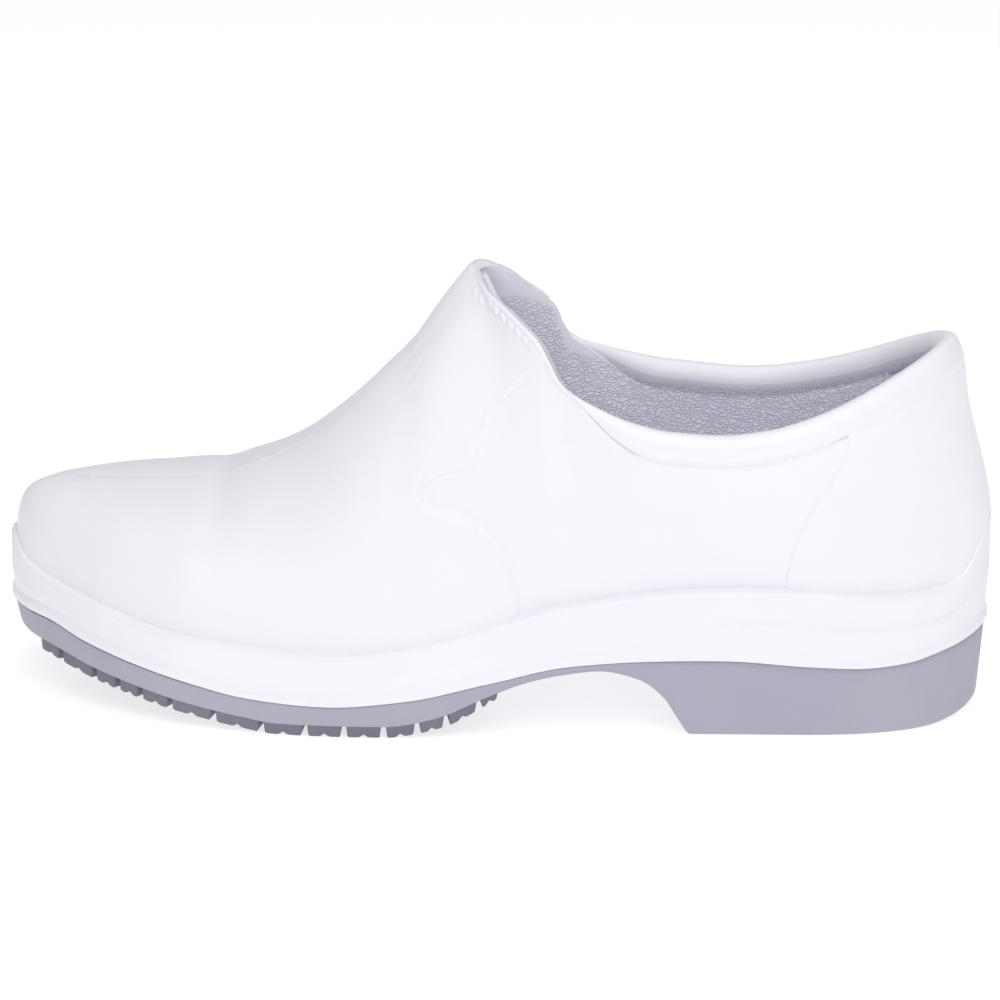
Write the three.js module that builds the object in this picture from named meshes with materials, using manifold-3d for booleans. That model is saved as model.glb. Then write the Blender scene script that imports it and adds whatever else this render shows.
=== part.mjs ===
// A left slip-on safety shoe: a white moulded upper on a grey rubber sole, with a loose insole.
// Millimetres, +Z up. The toe points to -X, the heel to +X, and the outer side of the foot to -Y.
import * as THREE from "three";
import { mergeVertices } from "three/addons/utils/BufferGeometryUtils.js";
import Module from "manifold-3d";

// Driving sizes of the last
const LENGTH = 286; // toe tip to heel back, over the side band
const BALL_WIDTH = 103; // across the side band at the ball
const INSTEP_HEIGHT = 128.6; // ground to the throat's peak
const TOE_HEIGHT = 61.4; // ground to the top of the toe box
const BACK_HEIGHT = 110.8; // ground to the collar at the heel
const COLLAR_WIDTH = 68; // across the collar at its widest
const TOE_SWING = 5; // how far the toe tip lies to the inner side
const CREST_ANGLE = 8; // degrees that the vamp falls away on each side of its crest
const SWING_END = 0.2; // share of the length where the toe's swing has faded

// The moulded upper
const WALL = 3.6;
const ROLL_HEIGHT = 8.5; // padded roll round the collar
const ROLL_BULGE = 2.8; // how far the roll stands out from its crest line
const ROLL_TUCK = 2; // where the wall meets the roll below
const ROLL_INSIDE = 1.2; // how far the roll stands out on the inside
const COLLAR_PAD = 2.4; // extra thickness of the wall under the roll
const PAD_STARTS = 0.3; // share of the wall's height where the padding starts
const BAND_HEIGHT = 43.8; // ground to the ledge on the side band, at the heel
const LEDGE = 2; // width of the ledge
const LEDGE_END = 0.35; // share of that width left at the toe tip and the heel back
const LEDGE_FADE = 0.06; // share of the length over which it narrows to them
const LEDGE_RISE = 0.4; // how far the ledge rises towards the wall
const BAND_ROUND = 1; // how far the band's top edge draws in
const LIP = 1.8; // height of the lip above the rubber
const LIP_DEPTH = 0.7;
const RIB_DEPTH = 0.8; // step along the band round the heel
const RIB_PLACE = 0.53; // its share of the band's height
const RIB_STARTS = 0.7; // the rib grows between these shares of the length
const RIB_FULL = 0.78;
const FLOOR_EDGE = 7.6; // band's outside to the footbed's side
const FLOOR_FILLET = 2;
const FOREFOOT_FLOOR = 7.6; // footbed thickness under the ball
const HEEL_FLOOR = 13;
const WEDGE_STARTS = 0.35; // the footbed thickens between these shares of the length
const WEDGE_FULL = 0.72;
const PANEL_DEPTH = 0.8; // how deep the side panel lies in the wall

// The rubber outsole
const SOLE_HEIGHT = 22.8; // ground to the rubber's top edge at the heel
const SOLE_INSET = 0.8; // how far the rubber lies inside the lip
const SOLE_TAPER = 1.5; // how far its wall draws in towards the ground
const SOLE_CORNER = 2.2;
const JOINT_SLOPE = 7; // width of the joint's sloping edge between rubber and upper
const TOE_SPRING = 14.2; // ground to the tread under the toe tip
const ARCH_HEIGHT = 19; // ground to the waist at its highest
const LUG_DEPTH = 3.4;
const LUG_GAP = 1.2;
const LUG_WIDTH = 13; // depth of an edge lug, from the sole's side inwards
const LUG_CHANNEL = 3;
const INNER_LUG = 21; // width of a lug between the edge lugs, about
const CHEVRON = 6; // how far the inner lugs point to the toe
const HEEL_GROOVE = 4;
const HEEL_GROOVE_DEPTH = 3;
const HEEL_RIM = 11; // solid rubber left outside the heel grooves

// The insole
const INSOLE_THICKNESS = 4;
const INSOLE_DISH = 1.2;
const DISH_EDGE = 5; // width of the dish's sloping edge

const GAP = 0.3; // between pieces that meet
const WALL_LEVELS = 8; // from the ledge to the collar

// Shares of BALL_WIDTH from the toe's swung centre line to the outside of the band
const OUTLINE = [
  { along: 0, outer: 0, inner: 0 },
  { along: 0.02, outer: 0.18, inner: 0.16 },
  { along: 0.05, outer: 0.265, inner: 0.25 },
  { along: 0.1, outer: 0.355, inner: 0.352 },
  { along: 0.15, outer: 0.412, inner: 0.42 },
  { along: 0.2, outer: 0.455, inner: 0.456 },
  { along: 0.25, outer: 0.48, inner: 0.474 },
  { along: 0.3, outer: 0.499, inner: 0.483 },
  { along: 0.35, outer: 0.505, inner: 0.477 },
  { along: 0.4, outer: 0.499, inner: 0.46 },
  { along: 0.5, outer: 0.463, inner: 0.408 },
  { along: 0.6, outer: 0.418, inner: 0.358 },
  { along: 0.7, outer: 0.39, inner: 0.342 },
  { along: 0.8, outer: 0.38, inner: 0.349 },
  { along: 0.86, outer: 0.362, inner: 0.342 },
  { along: 0.91, outer: 0.322, inner: 0.31 },
  { along: 0.95, outer: 0.258, inner: 0.25 },
  { along: 0.98, outer: 0.168, inner: 0.163 },
  { along: 1, outer: 0, inner: 0 },
];

// Shares of SOLE_HEIGHT: the rubber's top at its edge, and under the footbed
const SOLE_TOP = [
  { along: 0, edge: 1.12, under: 1.02 },
  { along: 0.045, edge: 1.09, under: 0.92 },
  { along: 0.09, edge: 0.93, under: 0.8 },
  { along: 0.134, edge: 0.8, under: 0.69 },
  { along: 0.197, edge: 0.64, under: 0.57 },
  { along: 0.26, edge: 0.495, under: 0.49 },
  { along: 0.34, edge: 0.44, under: 0.44 },
  { along: 0.42, edge: 0.53, under: 0.53 },
  { along: 0.5, edge: 0.74, under: 0.74 },
  { along: 0.577, edge: 0.935, under: 0.935 },
  { along: 0.656, edge: 0.995, under: 0.99 },
  { along: 0.736, edge: 1.01, under: 1 },
  { along: 0.816, edge: 0.95, under: 1 },
  { along: 0.876, edge: 0.915, under: 1 },
  { along: 0.916, edge: 0.945, under: 1 },
  { along: 0.957, edge: 1.045, under: 1 },
  { along: 1, edge: 1.2, under: 1 },
];

// Shares of BAND_HEIGHT: the ledge on top of the side band
const LEDGE_LINE = [
  { along: 0, height: 1.02 },
  { along: 0.024, height: 0.88 },
  { along: 0.054, height: 0.815 },
  { along: 0.105, height: 0.74 },
  { along: 0.158, height: 0.66 },
  { along: 0.21, height: 0.62 },
  { along: 0.26, height: 0.59 },
  { along: 0.335, height: 0.575 },
  { along: 0.41, height: 0.615 },
  { along: 0.46, height: 0.683 },
  { along: 0.51, height: 0.775 },
  { along: 0.56, height: 0.87 },
  { along: 0.61, height: 0.92 },
  { along: 0.66, height: 0.962 },
  { along: 0.71, height: 0.99 },
  { along: 0.76, height: 1 },
  { along: 0.855, height: 0.973 },
  { along: 0.918, height: 0.95 },
  { along: 0.957, height: 0.965 },
  { along: 0.973, height: 1.02 },
  { along: 0.983, height: 1.115 },
  { along: 0.994, height: 1.27 },
  { along: 1, height: 1.36 },
];

// The vamp's crest: its place and height. The toe box follows TOE_HEIGHT and the instep INSTEP_HEIGHT.
const CREST = [
  { along: 0.04, toe: 0.965, instep: 0, swing: 0.9 },
  { along: 0.09, toe: 0.995, instep: 0, swing: 0.75 },
  { along: 0.16, toe: 1, instep: 0, swing: 0.5 },
  { along: 0.21, toe: 1.015, instep: 0, swing: 0.3 },
  { along: 0.24, toe: 1, instep: 0.03, swing: 0.2 },
  { along: 0.275, toe: 0.8, instep: 0.16, swing: 0.1 },
  { along: 0.306, toe: 0.6, instep: 0.297, swing: 0 },
  { along: 0.341, toe: 0.4, instep: 0.463, swing: 0 },
  { along: 0.385, toe: 0.2, instep: 0.66, swing: 0 },
  { along: 0.425, toe: 0, instep: 0.862, swing: 0 },
  { along: 0.448, toe: 0, instep: 0.938, swing: 0 },
  { along: 0.47, toe: 0, instep: 1, swing: 0 },
  { along: 0.5, toe: 0, instep: 1.07, swing: 0 },
];
const THROAT = 0.47; // share of the length at the throat's peak
const THROAT_END = 0.57; // where the throat's wall has turned to the side
const CAP_REACH = 0.08; // how far back the front of the toe box runs to its top, as a share
const CAP_END = 0.3;

// The collar line from the throat's peak to the heel, for the wall station at the same share.
// reach is its own place along the shoe, and rise its height: BACK_HEIGHT is 0 and INSTEP_HEIGHT is 1.
// innerRise lifts it on the inner side. outer and inner are shares of COLLAR_WIDTH, and steep is the
// wall's angle in degrees.
const COLLAR = [
  { along: 0.47, reach: 0.47, rise: 1, innerRise: 0, outer: 0, inner: 0, steep: 8 },
  { along: 0.495, reach: 0.484, rise: 0.76, innerRise: 0.12, outer: 0.184, inner: 0.16, steep: 42 },
  { along: 0.52, reach: 0.502, rise: 0.575, innerRise: 0.1, outer: 0.27, inner: 0.258, steep: 58 },
  { along: 0.545, reach: 0.522, rise: 0.345, innerRise: 0.02, outer: 0.345, inner: 0.343, steep: 69 },
  { along: 0.565, reach: 0.541, rise: 0.08, innerRise: 0.02, outer: 0.397, inner: 0.397, steep: 76 },
  { along: 0.582, reach: 0.552, rise: -0.21, innerRise: -0.04, outer: 0.418, inner: 0.422, steep: 80 },
  { along: 0.6, reach: 0.563, rise: -0.52, innerRise: 0, outer: 0.434, inner: 0.44, steep: 82 },
  { along: 0.62, reach: 0.579, rise: -0.73, innerRise: 0.06, outer: 0.449, inner: 0.455, steep: 83 },
  { along: 0.645, reach: 0.603, rise: -0.925, innerRise: 0.12, outer: 0.465, inner: 0.47, steep: 84 },
  { along: 0.675, reach: 0.635, rise: -1.12, innerRise: 0.17, outer: 0.48, inner: 0.484, steep: 85 },
  { along: 0.71, reach: 0.675, rise: -1.25, innerRise: 0.19, outer: 0.493, inner: 0.495, steep: 86 },
  { along: 0.75, reach: 0.722, rise: -1.28, innerRise: 0.15, outer: 0.5, inner: 0.5, steep: 86 },
  { along: 0.79, reach: 0.766, rise: -1.2, innerRise: 0.07, outer: 0.492, inner: 0.498, steep: 85 },
  { along: 0.83, reach: 0.806, rise: -1.03, innerRise: 0, outer: 0.468, inner: 0.48, steep: 83 },
  { along: 0.87, reach: 0.847, rise: -0.77, innerRise: -0.08, outer: 0.424, inner: 0.44, steep: 81 },
  { along: 0.91, reach: 0.886, rise: -0.47, innerRise: -0.13, outer: 0.355, inner: 0.38, steep: 79 },
  { along: 0.95, reach: 0.921, rise: -0.2, innerRise: -0.1, outer: 0.25, inner: 0.27, steep: 77 },
  { along: 0.98, reach: 0.943, rise: -0.05, innerRise: -0.04, outer: 0.13, inner: 0.14, steep: 76 },
  { along: 1, reach: 0.953, rise: 0, innerRise: 0, outer: 0, inner: 0, steep: 75 },
];
const ROLL_STARTS = 0.56; // the roll grows between these places on the collar line
const ROLL_FULL = 0.66;

// How the wall leaves the ledge and reaches the top: handles as shares of its own height. The inner side
// has its own, and innerFall is the share of CREST_ANGLE that it falls away at the crest: the big toe's
// side is fuller and stays level, or rises a little, before it turns down.
const FULLNESS = [
  { along: 0, low: 0.5, lean: 0.05, top: 0.62, innerLow: 0.5, innerTop: 0.62, innerFall: 1 },
  { along: 0.1, low: 0.42, lean: 0.1, top: 0.5, innerLow: 0.54, innerTop: 0.69, innerFall: 0.1 },
  { along: 0.2, low: 0.36, lean: 0.2, top: 0.42, innerLow: 0.5, innerTop: 0.72, innerFall: -0.3 },
  { along: 0.3, low: 0.32, lean: 0.35, top: 0.32, innerLow: 0.42, innerTop: 0.62, innerFall: -0.3 },
  { along: 0.4, low: 0.36, lean: 0.42, top: 0.24, innerLow: 0.36, innerTop: 0.3, innerFall: 0.6 },
  { along: 0.47, low: 0.38, lean: 0.42, top: 0.2, innerLow: 0.38, innerTop: 0.2, innerFall: 1 },
  { along: 0.52, low: 0.38, lean: 0.3, top: 0.22, innerLow: 0.38, innerTop: 0.22, innerFall: 1 },
  { along: 0.6, low: 0.36, lean: 0.1, top: 0.3, innerLow: 0.36, innerTop: 0.3, innerFall: 1 },
  { along: 0.7, low: 0.36, lean: 0, top: 0.34, innerLow: 0.36, innerTop: 0.34, innerFall: 1 },
  { along: 0.9, low: 0.36, lean: 0.02, top: 0.36, innerLow: 0.36, innerTop: 0.36, innerFall: 1 },
  { along: 1, low: 0.33, lean: 0.1, top: 0.33, innerLow: 0.33, innerTop: 0.33, innerFall: 1 },
];

// The underside of the rubber between its lugs
const UNDERSIDE = [
  { along: 0, spring: 1, arch: 0, lug: 1 },
  { along: 0.04, spring: 0.88, arch: 0, lug: 1 },
  { along: 0.1, spring: 0.62, arch: 0, lug: 1 },
  { along: 0.16, spring: 0.39, arch: 0, lug: 1 },
  { along: 0.21, spring: 0.22, arch: 0, lug: 1 },
  { along: 0.25, spring: 0.09, arch: 0, lug: 1 },
  { along: 0.29, spring: 0, arch: 0, lug: 1 },
  { along: 0.4, spring: 0, arch: 0, lug: 1 },
  { along: 0.43, spring: 0, arch: 0.06, lug: 1 },
  { along: 0.46, spring: 0, arch: 0.18, lug: 1 },
  { along: 0.49, spring: 0, arch: 0.42, lug: 0.8 },
  { along: 0.51, spring: 0, arch: 0.6, lug: 0.5 },
  { along: 0.54, spring: 0, arch: 0.8, lug: 0.25 },
  { along: 0.57, spring: 0, arch: 0.92, lug: 0.1 },
  { along: 0.61, spring: 0, arch: 1, lug: 0 },
  { along: 0.65, spring: 0, arch: 0.86, lug: 0 },
  { along: 0.675, spring: 0, arch: 0.57, lug: 0 },
  { along: 0.69, spring: 0, arch: 0.22, lug: 0 },
  { along: 0.702, spring: 0, arch: 0, lug: 0 },
  { along: 0.935, spring: 0, arch: 0, lug: 0 },
  { along: 1, spring: 0, arch: 0.16, lug: 0 },
];

// Where the rows of lugs start, as shares of the length; the last value ends the last row
const LUG_ROWS = [
  0.03, 0.056, 0.095, 0.121, 0.146, 0.178, 0.225, 0.274, 0.319, 0.359, 0.399, 0.433, 0.462, 0.494, 0.515,
];
const HEEL_GROOVES = [0.75, 0.8, 0.85, 0.9];

// The recessed side panel between vamp and counter: its front and back edges on the wall. up is the
// share of the wall's curve from the ledge (0) to the collar or the foot of its roll (1).
const PANEL_FRONT = [
  { along: 0.577, up: 0.965 },
  { along: 0.55, up: 0.81 },
  { along: 0.518, up: 0.65 },
  { along: 0.477, up: 0.47 },
  { along: 0.442, up: 0.41 },
  { along: 0.435, up: 0.385 },
  { along: 0.441, up: 0.35 },
  { along: 0.458, up: 0.29 },
  { along: 0.482, up: 0.26 },
  { along: 0.502, up: 0.225 },
  { along: 0.519, up: 0.157 },
  { along: 0.529, up: 0.06 },
];
const PANEL_BACK = [
  { along: 0.793, up: 0.06 },
  { along: 0.805, up: 0.35 },
  { along: 0.821, up: 0.57 },
  { along: 0.845, up: 0.775 },
  { along: 0.86, up: 0.965 },
];
const FRONT_STEPS = 24; // points along the panel's edges
const BACK_STEPS = 8;
const LEVEL_STEPS = 10; // points along its foot and its head

const radians = THREE.MathUtils.degToRad;
const share = (low, high, value) => THREE.MathUtils.smoothstep(value, low, high);

// Stations crowd towards the toe and the heel, so that both ends come out round.
const turnAt = (along) => Math.acos(1 - 2 * along) / Math.PI;
const alongAt = (turn) => (1 - Math.cos(turn * Math.PI)) / 2;

// A smooth curve through one column of a table, without overshoot. Its ends are level unless set free.
function column(table, name, freeStart = false, freeEnd = false) {
  const at = table.map((row) => turnAt(row.along));
  const value = table.map((row) => row[name]);
  const last = at.length - 1;
  const rise = (i) => (value[i + 1] - value[i]) / (at[i + 1] - at[i]);
  const slope = value.map((_, i) => {
    if (i === 0) return freeStart ? rise(0) : 0;
    if (i === last) return freeEnd ? rise(last - 1) : 0;
    const before = rise(i - 1);
    const after = rise(i);
    return before * after <= 0 ? 0 : (2 * before * after) / (before + after);
  });
  return (along) => {
    const turn = THREE.MathUtils.clamp(turnAt(along), at[0], at[last]);
    let i = 0;
    while (i < last - 1 && turn > at[i + 1]) i += 1;
    const width = at[i + 1] - at[i];
    const t = (turn - at[i]) / width;
    const ease = t * t * (3 - 2 * t);
    const leave = t * (1 - t) * (1 - t) * width * slope[i];
    const arrive = t * t * (t - 1) * width * slope[i + 1];
    return value[i] + (value[i + 1] - value[i]) * ease + leave + arrive;
  };
}

const outerSpan = column(OUTLINE, "outer", true, true);
const innerSpan = column(OUTLINE, "inner", true, true);
const soleEdge = column(SOLE_TOP, "edge");
const soleUnder = column(SOLE_TOP, "under");
const ledgeShare = column(LEDGE_LINE, "height");
const crestToe = column(CREST, "toe");
const crestInstep = column(CREST, "instep", true, true);
const crestSwing = column(CREST, "swing", true);
const collarReach = column(COLLAR, "reach");
const collarRise = column(COLLAR, "rise");
const collarInnerRise = column(COLLAR, "innerRise");
const collarOuter = column(COLLAR, "outer", true, true);
const collarInner = column(COLLAR, "inner", true, true);
const collarSteep = column(COLLAR, "steep", true, true);
const lowHandle = column(FULLNESS, "low");
const leanIn = column(FULLNESS, "lean");
const topHandle = column(FULLNESS, "top");
const innerLowHandle = column(FULLNESS, "innerLow");
const innerTopHandle = column(FULLNESS, "innerTop");
const innerFall = column(FULLNESS, "innerFall");
const undersideSpring = column(UNDERSIDE, "spring", true);
const undersideArch = column(UNDERSIDE, "arch");
const undersideLug = column(UNDERSIDE, "lug");

const vector = (x, y, z) => new THREE.Vector3(x, y, z);
const xAt = (along) => (along - 0.5) * LENGTH;

// A place on the loop: 0 is the toe tip, up to 1 the outer side, 1 the heel back, up to 2 the inner side.
function placeAt(loop) {
  const round = ((loop % 2) + 2) % 2;
  const outside = round <= 1;
  return { along: alongAt(outside ? round : 2 - round), side: outside ? -1 : 1 };
}

// The toe tip swings to the inner side, and the swing fades towards the ball.
const swingAt = (along) => TOE_SWING * (1 - share(0, SWING_END, along));

function outlineAt(loop) {
  const { along, side } = placeAt(loop);
  const span = side < 0 ? outerSpan(along) : innerSpan(along);
  return new THREE.Vector2(xAt(along), side * span * BALL_WIDTH + swingAt(along));
}

const STEP = 1e-3; // step on the loop for a direction
const SAME = 1e-9; // places this near are one

function outwardAt(loop) {
  const ahead = outlineAt(loop + STEP).sub(outlineAt(loop - STEP)).normalize();
  return new THREE.Vector2(ahead.y, -ahead.x);
}

// A point at the given distance inside the band's outline.
function inside(loop, inset, height) {
  const point = outlineAt(loop).addScaledVector(outwardAt(loop), -inset);
  return vector(point.x, point.y, height);
}

const sideLoop = (along, side) => (side < 0 ? turnAt(along) : 2 - turnAt(along));
const edgeHeight = (along) => soleEdge(along) * SOLE_HEIGHT;
const underHeight = (along) => soleUnder(along) * SOLE_HEIGHT;
const ledgeHeight = (along) => ledgeShare(along) * BAND_HEIGHT;
const ledgeWidth = (along) =>
  LEDGE * THREE.MathUtils.lerp(LEDGE_END, 1, share(0, LEDGE_FADE, Math.min(along, 1 - along)));
const floorHeight = (along) =>
  underHeight(along) + THREE.MathUtils.lerp(FOREFOOT_FLOOR, HEEL_FLOOR, share(WEDGE_STARTS, WEDGE_FULL, along));

function crestAt(along) {
  const height = crestToe(along) * TOE_HEIGHT + crestInstep(along) * INSTEP_HEIGHT;
  return vector(xAt(along), crestSwing(along) * TOE_SWING, height);
}

function crestSlope(along) {
  const rise = crestAt(along + STEP).sub(crestAt(along - STEP));
  return rise.z / rise.x;
}

function collarAt(along, side) {
  const rise = collarRise(along) + (side > 0 ? collarInnerRise(along) : 0);
  const height = BACK_HEIGHT + rise * (INSTEP_HEIGHT - BACK_HEIGHT);
  const span = side < 0 ? collarOuter(along) : collarInner(along);
  return vector(xAt(collarReach(along)), side * span * COLLAR_WIDTH, height);
}

// The line along the shoe's top: the vamp's crest up to the throat, then the collar.
function topAt(loop) {
  const { along, side } = placeAt(loop);
  if (along >= THROAT) return collarAt(along, side);
  const back = Math.max(1 - along / CAP_END, 0);
  return crestAt(along + CAP_REACH * back * back);
}

const isCollar = (loop) => placeAt(loop).along >= THROAT - SAME;
const rollAt = (loop) => share(ROLL_STARTS, ROLL_FULL, collarReach(placeAt(loop).along));

// The collar line's direction. At the throat's peak it runs straight across the shoe.
function collarDirection(loop) {
  if (placeAt(loop).along - THROAT < STEP) return vector(0, 1, 0);
  return topAt(loop + STEP).sub(topAt(loop - STEP)).normalize();
}

// The outward direction of the surface at its top line.
function topNormal(loop) {
  const { along } = placeAt(loop);
  const top = topAt(loop);
  const slope = crestSlope(Math.min((top.x / LENGTH) + 0.5, THROAT));
  const vamp = vector(-slope, 0, 1).normalize();
  if (!isCollar(loop)) return vamp;
  const outward = outwardAt(loop);
  const steep = radians(collarSteep(along));
  const wall = vector(outward.x * Math.sin(steep), outward.y * Math.sin(steep), Math.cos(steep));
  const normal = vamp.lerp(wall, share(THROAT, THROAT_END, along)).normalize();
  const line = collarDirection(loop);
  return normal.addScaledVector(line, -normal.dot(line)).normalize();
}

// The direction down the wall, square to the collar line.
function downWall(loop, normal) {
  const down = normal.clone().cross(collarDirection(loop)).normalize();
  return down.z > 0 ? down.negate() : down;
}

// The section across the collar's edge, from the outside over the crest to the inside.
// out is measured along the wall's outward direction and down along the wall.
const edgeSection = (roll) => {
  const inner = WALL + roll * COLLAR_PAD;
  const full = [
    { out: ROLL_TUCK, down: ROLL_HEIGHT },
    { out: ROLL_BULGE, down: ROLL_HEIGHT * 0.52 },
    { out: ROLL_BULGE * 0.45, down: ROLL_HEIGHT * 0.08 },
    { out: -inner * 0.25, down: 0 },
    { out: -inner * 0.62, down: ROLL_HEIGHT * 0.12 },
    { out: ROLL_TUCK - inner - ROLL_INSIDE, down: ROLL_HEIGHT * 0.5 },
    { out: ROLL_TUCK - inner, down: ROLL_HEIGHT * 1.05 },
  ];
  const last = full.length - 1;
  return full.map(({ out, down }, i) => ({
    out: roll * out - (1 - roll) * (i / last) * WALL,
    down: roll * down,
  }));
};

function edgeRow(loop) {
  const top = topAt(loop);
  const normal = topNormal(loop);
  const down = downWall(loop, normal);
  return edgeSection(rollAt(loop)).map((point) =>
    top.clone().addScaledVector(normal, point.out).addScaledVector(down, point.down),
  );
}

// One meridian of the wall, a curve from the ledge to the top line.
function wallCurve(loop) {
  const { along, side } = placeAt(loop);
  const foot = inside(loop, BAND_ROUND + ledgeWidth(along), ledgeHeight(along) + LEDGE_RISE);
  const top = isCollar(loop) ? edgeRow(loop)[0] : topAt(loop);
  const normal = topNormal(loop);
  const tall = foot.distanceTo(top);
  const outward = outwardAt(loop);
  const lean = leanIn(along);
  const low = vector(-outward.x * lean, -outward.y * lean, 1).normalize();
  const fall = CREST_ANGLE * (side < 0 ? 1 : innerFall(along));
  const steep = radians(isCollar(loop) ? collarSteep(along) : fall);
  const lowShare = side < 0 ? lowHandle(along) : innerLowHandle(along);
  const topShare = side < 0 ? topHandle(along) : innerTopHandle(along);
  const high = vector(foot.x - top.x, foot.y - top.y, 0).normalize().multiplyScalar(Math.cos(steep));
  high.addScaledVector(normal, -high.dot(normal));
  high.z -= Math.sin(steep) * (isCollar(loop) ? 1 : Math.abs(high.y));
  high.normalize();
  return new THREE.CubicBezierCurve3(
    foot,
    foot.clone().addScaledVector(low, lowShare * tall),
    top.clone().addScaledVector(high, topShare * tall),
    top,
  );
}

// The stations run in three stretches, so that one lies on the throat's peak, where the collar opens,
// and more of them share the throat's tight curve behind it.
const STRETCHES = [
  { from: 0, to: THROAT, stations: 24 },
  { from: THROAT, to: THROAT_END, stations: 7 },
  { from: THROAT_END, to: 1, stations: 21 },
];
const SIDE_STATIONS = STRETCHES.reduce((count, stretch) => count + stretch.stations, 0);
const LOOP_COUNT = 2 * SIDE_STATIONS;

function stationAt(index) {
  const onOuter = index <= SIDE_STATIONS;
  let step = onOuter ? index : LOOP_COUNT - index;
  const stretch = STRETCHES.find((one) => {
    if (step <= one.stations) return true;
    step -= one.stations;
    return false;
  });
  const turn = THREE.MathUtils.lerp(turnAt(stretch.from), turnAt(stretch.to), step / stretch.stations);
  return onOuter ? turn : 2 - turn;
}

const everyStation = Array.from({ length: LOOP_COUNT }, (_, i) => stationAt(i));

// A skin collects triangles between rows of points.
class Skin {
  constructor() {
    this.points = [];
  }
  triangle(a, b, c) {
    this.points.push(a, b, c);
  }
  quad(a, b, c, d) {
    this.triangle(a, b, c);
    this.triangle(a, c, d);
  }
  // Rows run side by side round the shoe. A closed pair of rows joins its last point to its first.
  // Turned bands split their quads along the other diagonal.
  band(lower, upper, { closed = true, turned = false } = {}) {
    const count = closed ? lower.length : lower.length - 1;
    for (let i = 0; i < count; i += 1) {
      const next = (i + 1) % lower.length;
      if (turned) this.quad(lower[next], upper[next], upper[i], lower[i]);
      else this.quad(lower[i], lower[next], upper[next], upper[i]);
    }
  }
  // Fills a row that goes round the shoe with strips from side to side, facing up or down.
  cap(row, facesUp) {
    const half = row.length / 2;
    for (let i = 0; i < half; i += 1) {
      const a = row[i];
      const b = row[i + 1];
      const c = row[(row.length - i - 1) % row.length];
      const d = row[(row.length - i) % row.length];
      const corners = i === 0 ? [a, b, c] : i === half - 1 ? [a, b, d] : [a, b, c, d];
      if (!facesUp) corners.reverse();
      if (corners.length === 3) this.triangle(...corners);
      else this.quad(...corners);
    }
  }
  geometry() {
    const flat = this.points.flatMap((point) => [point.x, point.y, point.z]);
    const open = new THREE.BufferGeometry();
    open.setAttribute("position", new THREE.Float32BufferAttribute(flat, 3));
    return mergeVertices(open, 1e-4);
  }
}

const wasm = await Module();
wasm.setup();

function solidFrom(geometry) {
  const bare = geometry.clone();
  bare.deleteAttribute("normal");
  bare.deleteAttribute("uv");
  const merged = mergeVertices(bare, 1e-4);
  const mesh = new wasm.Mesh({
    numProp: 3,
    vertProperties: merged.attributes.position.array,
    triVerts: new Uint32Array(merged.index.array),
  });
  return new wasm.Manifold(mesh);
}

function geometryFrom(solid) {
  const { vertProperties, triVerts } = solid.getMesh();
  const geometry = new THREE.BufferGeometry();
  geometry.setAttribute("position", new THREE.BufferAttribute(vertProperties, 3));
  geometry.setIndex(new THREE.BufferAttribute(triVerts, 1));
  return geometry;
}

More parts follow.
